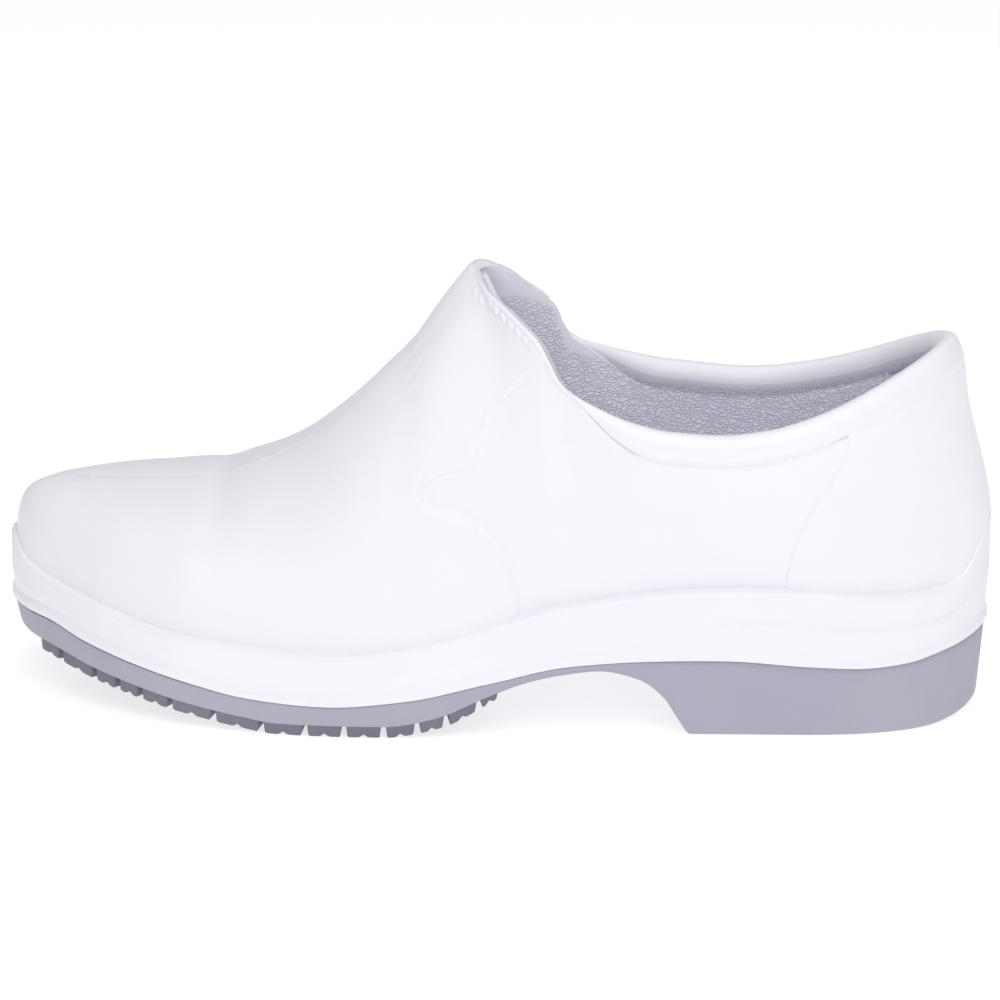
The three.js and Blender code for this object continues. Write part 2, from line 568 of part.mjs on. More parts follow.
// The moulded upper. Sunk by a depth, its wall lies that much deeper and it has no hollow.
function upperSkin(sunk = 0) {
  const skin = new Skin();
  const outerRing = (inset, height) =>
    everyStation.map((loop) => inside(loop, inset(placeAt(loop).along), height(placeAt(loop).along)));
  const flat = (value) => () => value;
  const ribStep = (along) => RIB_DEPTH * share(RIB_STARTS, RIB_FULL, along);
  const ribHeight = (along) => THREE.MathUtils.lerp(edgeHeight(along), ledgeHeight(along), RIB_PLACE);
  const rings = [
    outerRing(flat(0), edgeHeight),
    outerRing(flat(0), (along) => edgeHeight(along) + LIP),
    outerRing(flat(LIP_DEPTH), (along) => edgeHeight(along) + LIP + LIP_DEPTH),
    outerRing(flat(0), (along) => ribHeight(along) - RIB_DEPTH),
    outerRing(ribStep, ribHeight),
    outerRing(flat(BAND_ROUND * 0.4), (along) => ledgeHeight(along) - BAND_ROUND),
    outerRing(flat(BAND_ROUND), ledgeHeight),
  ];
  for (let i = 1; i < rings.length; i += 1) skin.band(rings[i - 1], rings[i]);

  const curves = everyStation.map(wallCurve);
  const wall = Array.from({ length: WALL_LEVELS + 1 }, (_, level) =>
    curves.map((curve) => curve.getPoint(level / WALL_LEVELS)),
  );
  // The outward direction of the wall, from its neighbours round the shoe and up the wall.
  const faceAt = (level, i) => {
    const last = everyStation.length;
    const low = Math.max(level - 1, 0);
    const high = Math.min(level + 1, WALL_LEVELS);
    const round = wall[level][(i + 1) % last].clone().sub(wall[level][(i + last - 1) % last]);
    const up = wall[high][i].clone().sub(wall[low][i]);
    return round.cross(up).normalize();
  };
  const pushed = (level, depth) =>
    everyStation.map((loop, i) => {
      const amount = depth(loop, level);
      if (level === WALL_LEVELS) return wall[level][i].clone().addScaledVector(topNormal(loop), -amount);
      return wall[level][i].clone().addScaledVector(faceAt(level, i), -amount);
    });
  const outerWall = wall.map((row, level) => (sunk > 0 ? pushed(level, flat(sunk)) : row));
  skin.band(rings[rings.length - 1], outerWall[0]);
  for (let level = 1; level <= WALL_LEVELS; level += 1) skin.band(outerWall[level - 1], outerWall[level]);

  const under = everyStation.map((loop) => inside(loop, JOINT_SLOPE, underHeight(placeAt(loop).along)));
  skin.band(under, rings[0], { turned: true });
  skin.cap(under, false);

  if (sunk > 0) {
    const opening = outerWall[WALL_LEVELS].filter((_, i) => isCollar(everyStation[i]));
    skin.cap(opening.slice(0, -1), true);
    return skin;
  }

  const rows = everyStation.filter(isCollar).map(edgeRow);
  for (let k = 1; k < rows[0].length; k += 1) {
    skin.band(rows.map((row) => row[k - 1]), rows.map((row) => row[k]), { closed: false });
  }
  const innerDepth = (loop, level) =>
    WALL + (isCollar(loop) ? rollAt(loop) * COLLAR_PAD * share(PAD_STARTS, 1, level / WALL_LEVELS) : 0);
  const lining = wall.map((_, level) => {
    if (level < WALL_LEVELS) return pushed(level, innerDepth);
    return everyStation.map((loop, i) => {
      if (!isCollar(loop)) return wall[level][i].clone().addScaledVector(topNormal(loop), -WALL);
      return edgeRow(loop).at(-1);
    });
  });
  for (let level = 1; level <= WALL_LEVELS; level += 1) skin.band(lining[level], lining[level - 1]);
  const floorSide = everyStation.map((loop) =>
    inside(loop, FLOOR_EDGE, floorHeight(placeAt(loop).along) + FLOOR_FILLET),
  );
  const floor = everyStation.map((loop) =>
    inside(loop, FLOOR_EDGE + FLOOR_FILLET, floorHeight(placeAt(loop).along)),
  );
  skin.band(lining[0], floorSide);
  skin.band(floorSide, floor);
  skin.cap(floor, true);
  return skin;
}

// What a side panel takes off the wall: everything outside the sunk wall, within the panel's outline.
function sidePanel(side) {
  const edge = (table, steps) => {
    const rows = table.map((row) => new THREE.Vector2(row.along, row.up));
    return new THREE.SplineCurve(rows).getPoints(steps);
  };
  const level = (from, to) =>
    Array.from({ length: LEVEL_STEPS - 1 }, (_, i) => from.clone().lerp(to, (i + 1) / LEVEL_STEPS));
  const front = edge(PANEL_FRONT, FRONT_STEPS);
  const back = edge(PANEL_BACK, BACK_STEPS);
  const places = [...front, ...level(front.at(-1), back[0]), ...back, ...level(back.at(-1), front[0])];
  const outline = places.map((place) => {
    const point = wallCurve(sideLoop(place.x, side)).getPoint(place.y);
    return new THREE.Vector2(point.x, point.z);
  });
  const across = new THREE.ExtrudeGeometry(new THREE.Shape(outline), { depth: BALL_WIDTH, bevelEnabled: false });
  across.rotateX(Math.PI / 2);
  if (side > 0) across.translate(0, BALL_WIDTH, 0);
  return solidFrom(across).subtract(solidFrom(upperSkin(PANEL_DEPTH).geometry()));
}

const undersideHeight = (along) =>
  undersideSpring(along) * TOE_SPRING + undersideArch(along) * ARCH_HEIGHT + undersideLug(along) * LUG_DEPTH;
const treadHeight = (along) => undersideHeight(along) - undersideLug(along) * LUG_DEPTH;

// A block with a flat outline, whose top and bottom follow two heights along the shoe.
function block(outline, bottom, top) {
  const skin = new Skin();
  const alongOf = (point) => point.x / LENGTH + 0.5;
  const low = outline.map((point) => vector(point.x, point.y, bottom(alongOf(point))));
  const high = outline.map((point) => vector(point.x, point.y, top(alongOf(point))));
  skin.band(low, high);
  for (let i = 1; i < outline.length - 1; i += 1) {
    skin.triangle(high[0], high[i], high[i + 1]);
    skin.triangle(low[0], low[i + 1], low[i]);
  }
  return solidFrom(skin.geometry());
}

// The joint's height at a distance inside the outline: it slopes from the edge, then is level.
function jointHeight(along, inset) {
  const edge = edgeHeight(along);
  return THREE.MathUtils.lerp(edge, underHeight(along), Math.min(inset / JOINT_SLOPE, 1));
}

function outsoleSolid() {
  const skin = new Skin();
  const ring = (inset, height) =>
    everyStation.map((loop) => inside(loop, inset, height(placeAt(loop).along)));
  const rings = [
    ring(SOLE_TAPER + SOLE_CORNER + SOLE_INSET, undersideHeight),
    ring(SOLE_TAPER + SOLE_INSET + SOLE_CORNER * 0.3, (along) => undersideHeight(along) + SOLE_CORNER * 0.3),
    ring(SOLE_TAPER + SOLE_INSET, (along) => undersideHeight(along) + SOLE_CORNER),
    ring(SOLE_INSET, (along) => jointHeight(along, SOLE_INSET) - GAP),
    ring(JOINT_SLOPE, (along) => underHeight(along) - GAP),
  ];
  for (let i = 1; i < rings.length; i += 1) skin.band(rings[i - 1], rings[i]);
  skin.cap(rings[0], false);
  skin.cap(rings.at(-1), true);
  return solidFrom(skin.geometry());
}

// A place on the sole between its two sides: across runs from 0 at the outer side to 1 at the inner.
function acrossSole(along, inset, across) {
  const outer = inside(sideLoop(along, -1), inset, 0);
  const inner = inside(sideLoop(along, 1), inset, 0);
  return outer.lerp(inner, across);
}

function lugSolids() {
  const lugs = [];
  const edgeInset = SOLE_INSET + SOLE_TAPER + SOLE_CORNER * 0.25;
  const rootHeight = (along) => undersideHeight(along) + SOLE_CORNER * 0.6;
  const gap = LUG_GAP / LENGTH;
  for (let row = 1; row < LUG_ROWS.length; row += 1) {
    const start = LUG_ROWS[row - 1];
    const end = LUG_ROWS[row] - gap;
    for (const side of [-1, 1]) {
      const outline = [
        inside(sideLoop(start, side), edgeInset + LUG_WIDTH, 0),
        inside(sideLoop(start, side), edgeInset, 0),
        inside(sideLoop((start + end) / 2, side), edgeInset, 0),
        inside(sideLoop(end, side), edgeInset, 0),
        inside(sideLoop(end, side), edgeInset + LUG_WIDTH, 0),
      ];
      if (side > 0) outline.reverse();
      lugs.push(block(outline, treadHeight, rootHeight));
    }
    const inset = edgeInset + LUG_WIDTH + LUG_CHANNEL;
    const wide = acrossSole(start, inset, 1).y - acrossSole(start, inset, 0).y;
    const count = Math.round(wide / INNER_LUG);
    const between = LUG_CHANNEL / wide;
    const point = CHEVRON / LENGTH;
    for (let i = 0; i < count; i += 1) {
      const from = i / count + (i > 0 ? between / 2 : 0);
      const to = (i + 1) / count - (i < count - 1 ? between / 2 : 0);
      const shift = (across) => point * (1 - Math.abs(2 * across - 1));
      const channel = (LUG_CHANNEL - LUG_GAP) / LENGTH;
      const corner = (along, across) => acrossSole(along - shift(across), inset, across);
      const outline = [
        corner(start, from),
        corner(end - channel, from),
        corner(end - channel, to),
        corner(start, to),
      ];
      lugs.push(block(outline, treadHeight, rootHeight));
    }
  }
  return lugs;
}

function heelGrooves() {
  const half = HEEL_GROOVE / 2 / LENGTH;
  return HEEL_GROOVES.map((along) => {
    const outline = [
      acrossSole(along - half, HEEL_RIM, 0),
      acrossSole(along + half, HEEL_RIM, 0),
      acrossSole(along + half, HEEL_RIM, 1),
      acrossSole(along - half, HEEL_RIM, 1),
    ];
    return block(outline, () => -HEEL_GROOVE_DEPTH, () => HEEL_GROOVE_DEPTH);
  });
}

function insoleSkin() {
  const skin = new Skin();
  const ring = (inset, above) =>
    everyStation.map((loop) => inside(loop, inset, floorHeight(placeAt(loop).along) + above));
  const side = FLOOR_EDGE + GAP;
  const rings = [
    ring(side + FLOOR_FILLET + GAP, GAP),
    ring(side + GAP, GAP + FLOOR_FILLET),
    ring(side + GAP, GAP + INSOLE_THICKNESS),
    ring(side + DISH_EDGE, GAP + INSOLE_THICKNESS - INSOLE_DISH),
  ];
  for (let i = 1; i < rings.length; i += 1) skin.band(rings[i - 1], rings[i]);
  skin.cap(rings[0], false);
  skin.cap(rings.at(-1), true);
  return skin;
}

const upper = solidFrom(upperSkin().geometry()).subtract(sidePanel(-1)).subtract(sidePanel(1));

let outsole = outsoleSolid();
for (const lug of lugSolids()) outsole = outsole.add(lug);
for (const groove of heelGrooves()) outsole = outsole.subtract(groove);

const white = new THREE.MeshStandardMaterial({ color: 0xf2f1f6, roughness: 0.55, metalness: 0 });
const rubber = new THREE.MeshStandardMaterial({ color: 0xa4a3b4, roughness: 0.6, metalness: 0 });
const foam = new THREE.MeshStandardMaterial({ color: 0xb8b6c6, roughness: 0.9, metalness: 0 });

const shoe = new THREE.Group();
const pieces = [
  ["upper", geometryFrom(upper), white],
  ["outsole", geometryFrom(outsole), rubber],
  ["insole", insoleSkin().geometry(), foam],
];
for (const [name, geometry, material] of pieces) {
  const mesh = new THREE.Mesh(geometry, material);
  mesh.name = name;
  shoe.add(mesh);
}

// The frame's origin lies on the ground under the middle of the shoe's box.
const box = new THREE.Box3().setFromObject(shoe);
const middle = box.getCenter(vector(0, 0, 0));
shoe.position.set(-middle.x, -middle.y, -box.min.z);

export default shoe;
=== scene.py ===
"""A left slip-on safety shoe: a white moulded upper, a grey rubber sole and a loose insole."""

from __future__ import annotations

import logging
import math
from dataclasses import dataclass, field
from enum import Enum

import bpy
import numpy as np
from mathutils import Matrix, Vector
from mathutils.bvhtree import BVHTree

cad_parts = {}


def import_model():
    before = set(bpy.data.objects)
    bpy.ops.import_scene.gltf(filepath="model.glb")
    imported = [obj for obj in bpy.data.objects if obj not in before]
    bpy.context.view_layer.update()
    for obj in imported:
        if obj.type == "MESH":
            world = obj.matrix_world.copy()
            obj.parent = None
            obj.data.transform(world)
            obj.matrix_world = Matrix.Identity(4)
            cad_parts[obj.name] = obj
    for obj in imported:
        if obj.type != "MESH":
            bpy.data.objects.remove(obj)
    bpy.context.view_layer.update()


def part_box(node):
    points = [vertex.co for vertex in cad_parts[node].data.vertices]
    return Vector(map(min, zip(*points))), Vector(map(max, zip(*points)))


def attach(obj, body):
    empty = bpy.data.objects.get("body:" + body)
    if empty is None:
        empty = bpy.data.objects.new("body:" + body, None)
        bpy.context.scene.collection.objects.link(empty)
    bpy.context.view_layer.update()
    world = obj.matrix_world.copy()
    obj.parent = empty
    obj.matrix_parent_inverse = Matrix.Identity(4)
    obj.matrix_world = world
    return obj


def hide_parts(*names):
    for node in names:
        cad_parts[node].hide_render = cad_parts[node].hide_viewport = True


log = logging.getLogger("safety_shoe")

Array = np.ndarray
Colour = tuple[float, float, float, float]
STEP = 1e-3
SAME = 1e-9
MM = 1e-3


class Side(Enum):
    """The two sides of the shoe, by the sign of their place across it."""

    OUTER = -1.0
    INNER = 1.0

    def loop(self, along: Array) -> Array:
        """Place on the loop for a share of the length on this side."""
        return turn_at(along) if self is Side.OUTER else 2 - turn_at(along)


class Relief(Enum):
    """How a moulded surface feels."""

    SATIN = "satin"
    PEBBLED = "pebbled"


def srgb(red: float, green: float, blue: float) -> Colour:
    """A colour in linear light from its screen values of 0 to 255."""
    values = [(v / 255 + 0.055) / 1.055 for v in (red, green, blue)]
    return (*[v ** 2.4 for v in values], 1.0)


def unit(vectors: Array) -> Array:
    """Vectors scaled to length one."""
    return vectors / np.maximum(np.linalg.norm(vectors, axis=-1, keepdims=True), 1e-12)


def smooth(low: float, high: float, value: Array) -> Array:
    """A soft step from 0 at low to 1 at high."""
    t = np.clip((value - low) / (high - low), 0.0, 1.0)
    return t * t * (3 - 2 * t)


def turn_at(along: Array) -> Array:
    """Half turns round the shoe's end for a share of its length."""
    return np.arccos(np.clip(1 - 2 * np.asarray(along, float), -1, 1)) / math.pi


def along_at(turn: Array) -> Array:
    """Share of the length for half turns round the shoe's end."""
    return (1 - np.cos(np.asarray(turn) * math.pi)) / 2


def through(at: Array, value: Array, place: Array, free: tuple[bool, bool] = (False, False)) -> Array:
    """Read a smooth line through points, without overshoot.

    Args:
        at: rising places of the points.
        value: the points' values.
        place: where to read the line.
        free: whether the line's start and end slope freely.

    Returns:
        The line's values at the places.
    """
    rise = np.diff(value) / np.diff(at)
    slope = np.zeros_like(value)
    same = rise[:-1] * rise[1:] > 0
    total = np.where(same, rise[:-1] + rise[1:], 1.0)
    slope[1:-1] = np.where(same, 2 * rise[:-1] * rise[1:] / total, 0.0)
    slope[0] = rise[0] * free[0]
    slope[-1] = rise[-1] * free[1]
    place = np.clip(place, at[0], at[-1])
    i = np.clip(np.searchsorted(at, place, side="left") - 1, 0, len(at) - 2)
    width = at[i + 1] - at[i]
    t = (place - at[i]) / width
    eased = value[i] + (value[i + 1] - value[i]) * t * t * (3 - 2 * t)
    return eased + t * (1 - t) ** 2 * width * slope[i] + t * t * (t - 1) * width * slope[i + 1]


@dataclass(frozen=True)
class Table:
    """A short table with named columns; the first one is the place that the others go by."""

    columns: tuple[str, ...]
    rows: tuple[tuple[float, ...], ...]

    def column(self, name: str) -> Array:
        """One column's values."""
        return np.array([row[self.columns.index(name)] for row in self.rows], float)

    def line(self, name: str, along: Array, free: tuple[bool, bool] = (False, False)) -> Array:
        """A smooth line through one column, by half turns along the shoe."""
        return through(turn_at(self.column(self.columns[0])), self.column(name), turn_at(along), free)


OUTLINE = Table(("along", "outer", "inner"), (
    (0, 0, 0), (0.02, 0.18, 0.16), (0.05, 0.265, 0.25), (0.1, 0.355, 0.352), (0.15, 0.412, 0.42),
    (0.2, 0.455, 0.456), (0.25, 0.48, 0.474), (0.3, 0.499, 0.483), (0.35, 0.505, 0.477),
    (0.4, 0.499, 0.46), (0.5, 0.463, 0.408), (0.6, 0.418, 0.358), (0.7, 0.39, 0.342),
    (0.8, 0.38, 0.349), (0.86, 0.362, 0.342), (0.91, 0.322, 0.31), (0.95, 0.258, 0.25),
    (0.98, 0.168, 0.163), (1, 0, 0),
))
SOLE_TOP = Table(("along", "edge", "under"), (
    (0, 1.12, 1.02), (0.045, 1.09, 0.92), (0.09, 0.93, 0.8), (0.134, 0.8, 0.69), (0.197, 0.64, 0.57),
    (0.26, 0.495, 0.49), (0.34, 0.44, 0.44), (0.42, 0.53, 0.53), (0.5, 0.74, 0.74),
    (0.577, 0.935, 0.935), (0.656, 0.995, 0.99), (0.736, 1.01, 1), (0.816, 0.95, 1),
    (0.876, 0.915, 1), (0.916, 0.945, 1), (0.957, 1.045, 1), (1, 1.2, 1),
))
LEDGE_LINE = Table(("along", "height"), (
    (0, 1.02), (0.024, 0.88), (0.054, 0.815), (0.105, 0.74), (0.158, 0.66), (0.21, 0.62),
    (0.26, 0.59), (0.335, 0.575), (0.41, 0.615), (0.46, 0.683), (0.51, 0.775), (0.56, 0.87),
    (0.61, 0.92), (0.66, 0.962), (0.71, 0.99), (0.76, 1), (0.855, 0.973), (0.918, 0.95),
    (0.957, 0.965), (0.973, 1.02), (0.983, 1.115), (0.994, 1.27), (1, 1.36),
))
CREST = Table(("along", "toe", "instep", "swing"), (
    (0.04, 0.965, 0, 0.9), (0.09, 0.995, 0, 0.75), (0.16, 1, 0, 0.5), (0.21, 1.015, 0, 0.3),
    (0.24, 1, 0.03, 0.2), (0.275, 0.8, 0.16, 0.1), (0.306, 0.6, 0.297, 0), (0.341, 0.4, 0.463, 0),
    (0.385, 0.2, 0.66, 0), (0.425, 0, 0.862, 0), (0.448, 0, 0.938, 0), (0.47, 0, 1, 0), (0.5, 0, 1.07, 0),
))
COLLAR = Table(("along", "reach", "rise", "inner_rise", "outer", "inner", "steep"), (
    (0.47, 0.47, 1, 0, 0, 0, 8), (0.495, 0.484, 0.76, 0.12, 0.184, 0.16, 42),
    (0.52, 0.502, 0.575, 0.1, 0.27, 0.258, 58), (0.545, 0.522, 0.345, 0.02, 0.345, 0.343, 69),
    (0.565, 0.541, 0.08, 0.02, 0.397, 0.397, 76), (0.582, 0.552, -0.21, -0.04, 0.418, 0.422, 80),
    (0.6, 0.563, -0.52, 0, 0.434, 0.44, 82), (0.62, 0.579, -0.73, 0.06, 0.449, 0.455, 83),
    (0.645, 0.603, -0.925, 0.12, 0.465, 0.47, 84), (0.675, 0.635, -1.12, 0.17, 0.48, 0.484, 85),
    (0.71, 0.675, -1.25, 0.19, 0.493, 0.495, 86), (0.75, 0.722, -1.28, 0.15, 0.5, 0.5, 86),
    (0.79, 0.766, -1.2, 0.07, 0.492, 0.498, 85), (0.83, 0.806, -1.03, 0, 0.468, 0.48, 83),
    (0.87, 0.847, -0.77, -0.08, 0.424, 0.44, 81), (0.91, 0.886, -0.47, -0.13, 0.355, 0.38, 79),
    (0.95, 0.921, -0.2, -0.1, 0.25, 0.27, 77), (0.98, 0.943, -0.05, -0.04, 0.13, 0.14, 76),
    (1, 0.953, 0, 0, 0, 0, 75),
))
FULLNESS = Table(("along", "low", "lean", "top", "inner_low", "inner_top", "inner_fall"), (
    (0, 0.5, 0.05, 0.62, 0.5, 0.62, 1), (0.1, 0.42, 0.1, 0.5, 0.54, 0.69, 0.1),
    (0.2, 0.36, 0.2, 0.42, 0.5, 0.72, -0.3), (0.3, 0.32, 0.35, 0.32, 0.42, 0.62, -0.3),
    (0.4, 0.36, 0.42, 0.24, 0.36, 0.3, 0.6), (0.47, 0.38, 0.42, 0.2, 0.38, 0.2, 1),
    (0.52, 0.38, 0.3, 0.22, 0.38, 0.22, 1), (0.6, 0.36, 0.1, 0.3, 0.36, 0.3, 1),
    (0.7, 0.36, 0, 0.34, 0.36, 0.34, 1), (0.9, 0.36, 0.02, 0.36, 0.36, 0.36, 1),
    (1, 0.33, 0.1, 0.33, 0.33, 0.33, 1),
))


UNDERSIDE = Table(("along", "spring", "arch", "lug"), (
    (0, 1, 0, 1), (0.04, 0.88, 0, 1), (0.1, 0.62, 0, 1), (0.16, 0.39, 0, 1), (0.21, 0.22, 0, 1),
    (0.25, 0.09, 0, 1), (0.29, 0, 0, 1), (0.4, 0, 0, 1), (0.43, 0, 0.06, 1), (0.46, 0, 0.18, 1),
    (0.49, 0, 0.42, 0.8), (0.51, 0, 0.6, 0.5), (0.54, 0, 0.8, 0.25), (0.57, 0, 0.92, 0.1), (0.61, 0, 1, 0), (0.65, 0, 0.86, 0),
    (0.675, 0, 0.57, 0), (0.69, 0, 0.22, 0), (0.702, 0, 0, 0), (0.935, 0, 0, 0), (1, 0, 0.16, 0),
))
PANEL_FRONT = Table(("up", "along"), (
    (0.06, 0.529), (0.157, 0.519), (0.225, 0.502), (0.26, 0.482), (0.29, 0.458), (0.335, 0.438),
    (0.37, 0.433), (0.387, 0.438), (0.393, 0.448), (0.398, 0.458), (0.406, 0.468), (0.44, 0.476),
    (0.485, 0.483), (0.54, 0.493), (0.63, 0.515), (0.77, 0.545), (0.9, 0.565), (1, 0.577),
))
PANEL_TRACK = Table(("up", "along"), (
    (0, 0.535), (0.1, 0.525), (0.2, 0.505), (0.27, 0.478), (0.33, 0.456), (0.38, 0.452), (0.43, 0.463),
    (0.5, 0.484), (0.6, 0.508), (0.7, 0.531), (0.85, 0.558), (1, 0.577),
))
PANEL_BACK = Table(("up", "along"), (
    (0.06, 0.793), (0.35, 0.805), (0.57, 0.821), (0.775, 0.845), (0.965, 0.86),
))
LUG_ROWS = (
    0.03, 0.056, 0.095, 0.121, 0.146, 0.178, 0.225, 0.274, 0.319, 0.359, 0.399, 0.433, 0.462, 0.494, 0.515,
)
HEEL_GROOVES = (0.75, 0.8, 0.85, 0.9)


@dataclass(frozen=True)
class LastLines:
    """The shoe's lines in millimetres, from the sizes of its last."""

    length: float = 286.0
    ball_width: float = 103.0
    instep_height: float = 128.6
    toe_height: float = 61.4
    back_height: float = 110.8
    collar_width: float = 68.0
    toe_swing: float = 5.0
    crest_angle: float = 8.0
    swing_end: float = 0.2
    band_height: float = 43.8
    sole_height: float = 22.8
    ledge: float = 2.0
    ledge_rise: float = 0.4
    ledge_end: float = 0.35
    ledge_fade: float = 0.06
    ledge_back: float = -0.3
    band_round: float = 1.0
    throat: float = 0.47
    throat_end: float = 0.57
    cap_reach: float = 0.08
    cap_end: float = 0.3
    roll_starts: float = 0.56
    roll_full: float = 0.66
    roll_height: float = 8.5
    roll_tuck: float = 2.0
    joint_slope: float = 7.0

    def x_at(self, along: Array) -> Array:
        """Place along the shoe in millimetres."""
        return (along - 0.5) * self.length

    def place(self, loop: Array) -> tuple[Array, Array]:
        """Share of the length and side for a place on the loop."""
        turned = np.mod(loop, 2)
        outside = turned <= 1
        return along_at(np.where(outside, turned, 2 - turned)), np.where(outside, -1.0, 1.0)

    def outline(self, loop: Array) -> Array:
        """The side band's outline."""
        along, side = self.place(loop)
        outer = OUTLINE.line("outer", along, (True, True))
        inner = OUTLINE.line("inner", along, (True, True))
        swing = self.toe_swing * (1 - smooth(0, self.swing_end, along))
        across = side * np.where(side < 0, outer, inner) * self.ball_width + swing
        return np.stack([self.x_at(along), across], -1)

    def outward(self, loop: Array) -> Array:
        """The outline's outward direction."""
        ahead = unit(self.outline(loop + STEP) - self.outline(loop - STEP))
        return np.stack([ahead[..., 1], -ahead[..., 0]], -1)

    def inside(self, loop: Array, inset: Array, height: Array) -> Array:
        """A point at a distance inside the outline."""
        flat = self.outline(loop) - self.outward(loop) * np.asarray(inset)[..., None]
        return np.concatenate([flat, np.broadcast_to(height, flat.shape[:-1])[..., None]], -1)

    def edge_height(self, along: Array) -> Array:
        """Top of the rubber at its edge."""
        return SOLE_TOP.line("edge", along) * self.sole_height

    def under_height(self, along: Array) -> Array:
        """Top of the rubber under the footbed."""
        return SOLE_TOP.line("under", along) * self.sole_height

    def ledge_height(self, along: Array) -> Array:
        """Top of the side band."""
        return LEDGE_LINE.line("height", along) * self.band_height

    def ledge_width(self, along: Array) -> Array:
        """Width of the band's ledge, which narrows at the toe tip and is a soft line at the heel's back."""
        end = np.where(np.asarray(along) < 0.5, self.ledge_end, self.ledge_back)
        near_end = smooth(0, self.ledge_fade, np.minimum(along, 1 - along))
        return self.ledge * (end + (1 - end) * near_end)

    def crest(self, along: Array) -> Array:
        """The vamp's crest line."""
        toe = CREST.line("toe", along) * self.toe_height
        instep = CREST.line("instep", along, (True, True)) * self.instep_height
        swing = CREST.line("swing", along, (True, False)) * self.toe_swing
        return np.stack([self.x_at(along), swing, toe + instep], -1)

    def crest_slope(self, along: Array) -> Array:
        """How steeply the crest rises."""
        rise = self.crest(along + STEP) - self.crest(along - STEP)
        return rise[..., 2] / rise[..., 0]

    def collar(self, along: Array, side: Array) -> Array:
        """The collar line."""
        rise = COLLAR.line("rise", along) + np.where(side > 0, COLLAR.line("inner_rise", along), 0.0)
        height = self.back_height + rise * (self.instep_height - self.back_height)
        outer = COLLAR.line("outer", along, (True, True))
        inner = COLLAR.line("inner", along, (True, True))
        across = side * np.where(side < 0, outer, inner) * self.collar_width
        return np.stack([self.x_at(COLLAR.line("reach", along)), across, height], -1)

    def top(self, loop: Array) -> Array:
        """The crest up to the throat, then the collar."""
        along, side = self.place(loop)
        back = np.maximum(1 - along / self.cap_end, 0)
        crest = self.crest(along + self.cap_reach * back * back)
        return np.where((along >= self.throat)[..., None], self.collar(along, side), crest)

    def is_collar(self, loop: Array) -> Array:
        """Whether the wall ends at the collar there."""
        return self.place(loop)[0] >= self.throat - SAME

    def roll(self, loop: Array) -> Array:
        """How full the collar roll is."""
        reach = COLLAR.line("reach", self.place(loop)[0])
        return smooth(self.roll_starts, self.roll_full, reach)

    def collar_direction(self, loop: Array) -> Array:
        """The collar line's direction, straight across at the peak."""
        run = unit(self.top(loop + STEP) - self.top(loop - STEP))
        peak = self.place(loop)[0] - self.throat < STEP
        return np.where(peak[..., None], np.array([0.0, 1.0, 0.0]), run)

    def top_normal(self, loop: Array) -> Array:
        """The outward direction of the surface at its top line."""
        along, _ = self.place(loop)
        top = self.top(loop)
        slope = self.crest_slope(np.minimum(top[..., 0] / self.length + 0.5, self.throat))
        vamp = unit(np.stack([-slope, np.zeros_like(slope), np.ones_like(slope)], -1))
        outward = self.outward(loop)
        steep = np.radians(COLLAR.line("steep", along, (True, True)))
        wall = np.stack([outward[..., 0] * np.sin(steep), outward[..., 1] * np.sin(steep), np.cos(steep)], -1)
        turned = smooth(self.throat, self.throat_end, along)[..., None]
        normal = unit(vamp + (wall - vamp) * turned)
        run = self.collar_direction(loop)
        normal = unit(normal - run * np.sum(normal * run, -1, keepdims=True))
        return np.where(self.is_collar(loop)[..., None], normal, vamp)

    def down_wall(self, loop: Array, normal: Array) -> Array:
        """The direction down the wall, square to the collar line."""
        down = unit(np.cross(normal, self.collar_direction(loop)))
        return np.where(down[..., 2:] > 0, -down, down)

    def wall_frame(self, loop: Array) -> tuple[Array, Array, Array, Array]:
        """Handles of the wall's meridian, from the ledge to the top line."""
        along, _ = self.place(loop)
        inner = np.asarray(loop) > 1
        foot = self.inside(
            loop, self.band_round + self.ledge_width(along), self.ledge_height(along) + self.ledge_rise
        )
        normal = self.top_normal(loop)
        roll = self.roll(loop)[..., None]
        down = self.down_wall(loop, normal)
        tuck = self.top(loop) + normal * roll * self.roll_tuck + down * roll * self.roll_height
        collar = self.is_collar(loop)
        top = np.where(collar[..., None], tuck, self.top(loop))
        tall = np.linalg.norm(foot - top, axis=-1, keepdims=True)
        outward = self.outward(loop)
        lean = FULLNESS.line("lean", along)
        low = unit(np.stack([-outward[..., 0] * lean, -outward[..., 1] * lean, np.ones_like(lean)], -1))
        fall = self.crest_angle * np.where(inner, FULLNESS.line("inner_fall", along), 1.0)
        steep = np.radians(np.where(collar, COLLAR.line("steep", along, (True, True)), fall))
        level = foot - top
        level[..., 2] = 0
        high = unit(level) * np.cos(steep)[..., None]
        high = high - normal * np.sum(high * normal, -1, keepdims=True)
        high[..., 2] -= np.sin(steep) * np.where(collar, 1.0, np.abs(high[..., 1]))
        high = unit(high)
        low_share = np.where(inner, FULLNESS.line("inner_low", along), FULLNESS.line("low", along))
        top_share = np.where(inner, FULLNESS.line("inner_top", along), FULLNESS.line("top", along))
        lower = foot + low * (low_share[..., None] * tall)
        upper = top + high * (top_share[..., None] * tall)
        return foot, lower, upper, top

    def wall(self, loop: Array, up: Array) -> Array:
        """A point on the wall, up from the ledge (0) to the top line (1)."""
        a, b, c, d = self.wall_frame(loop)
        t = np.asarray(up)[..., None]
        return (1 - t) ** 3 * a + 3 * (1 - t) ** 2 * t * b + 3 * (1 - t) * t * t * c + t ** 3 * d


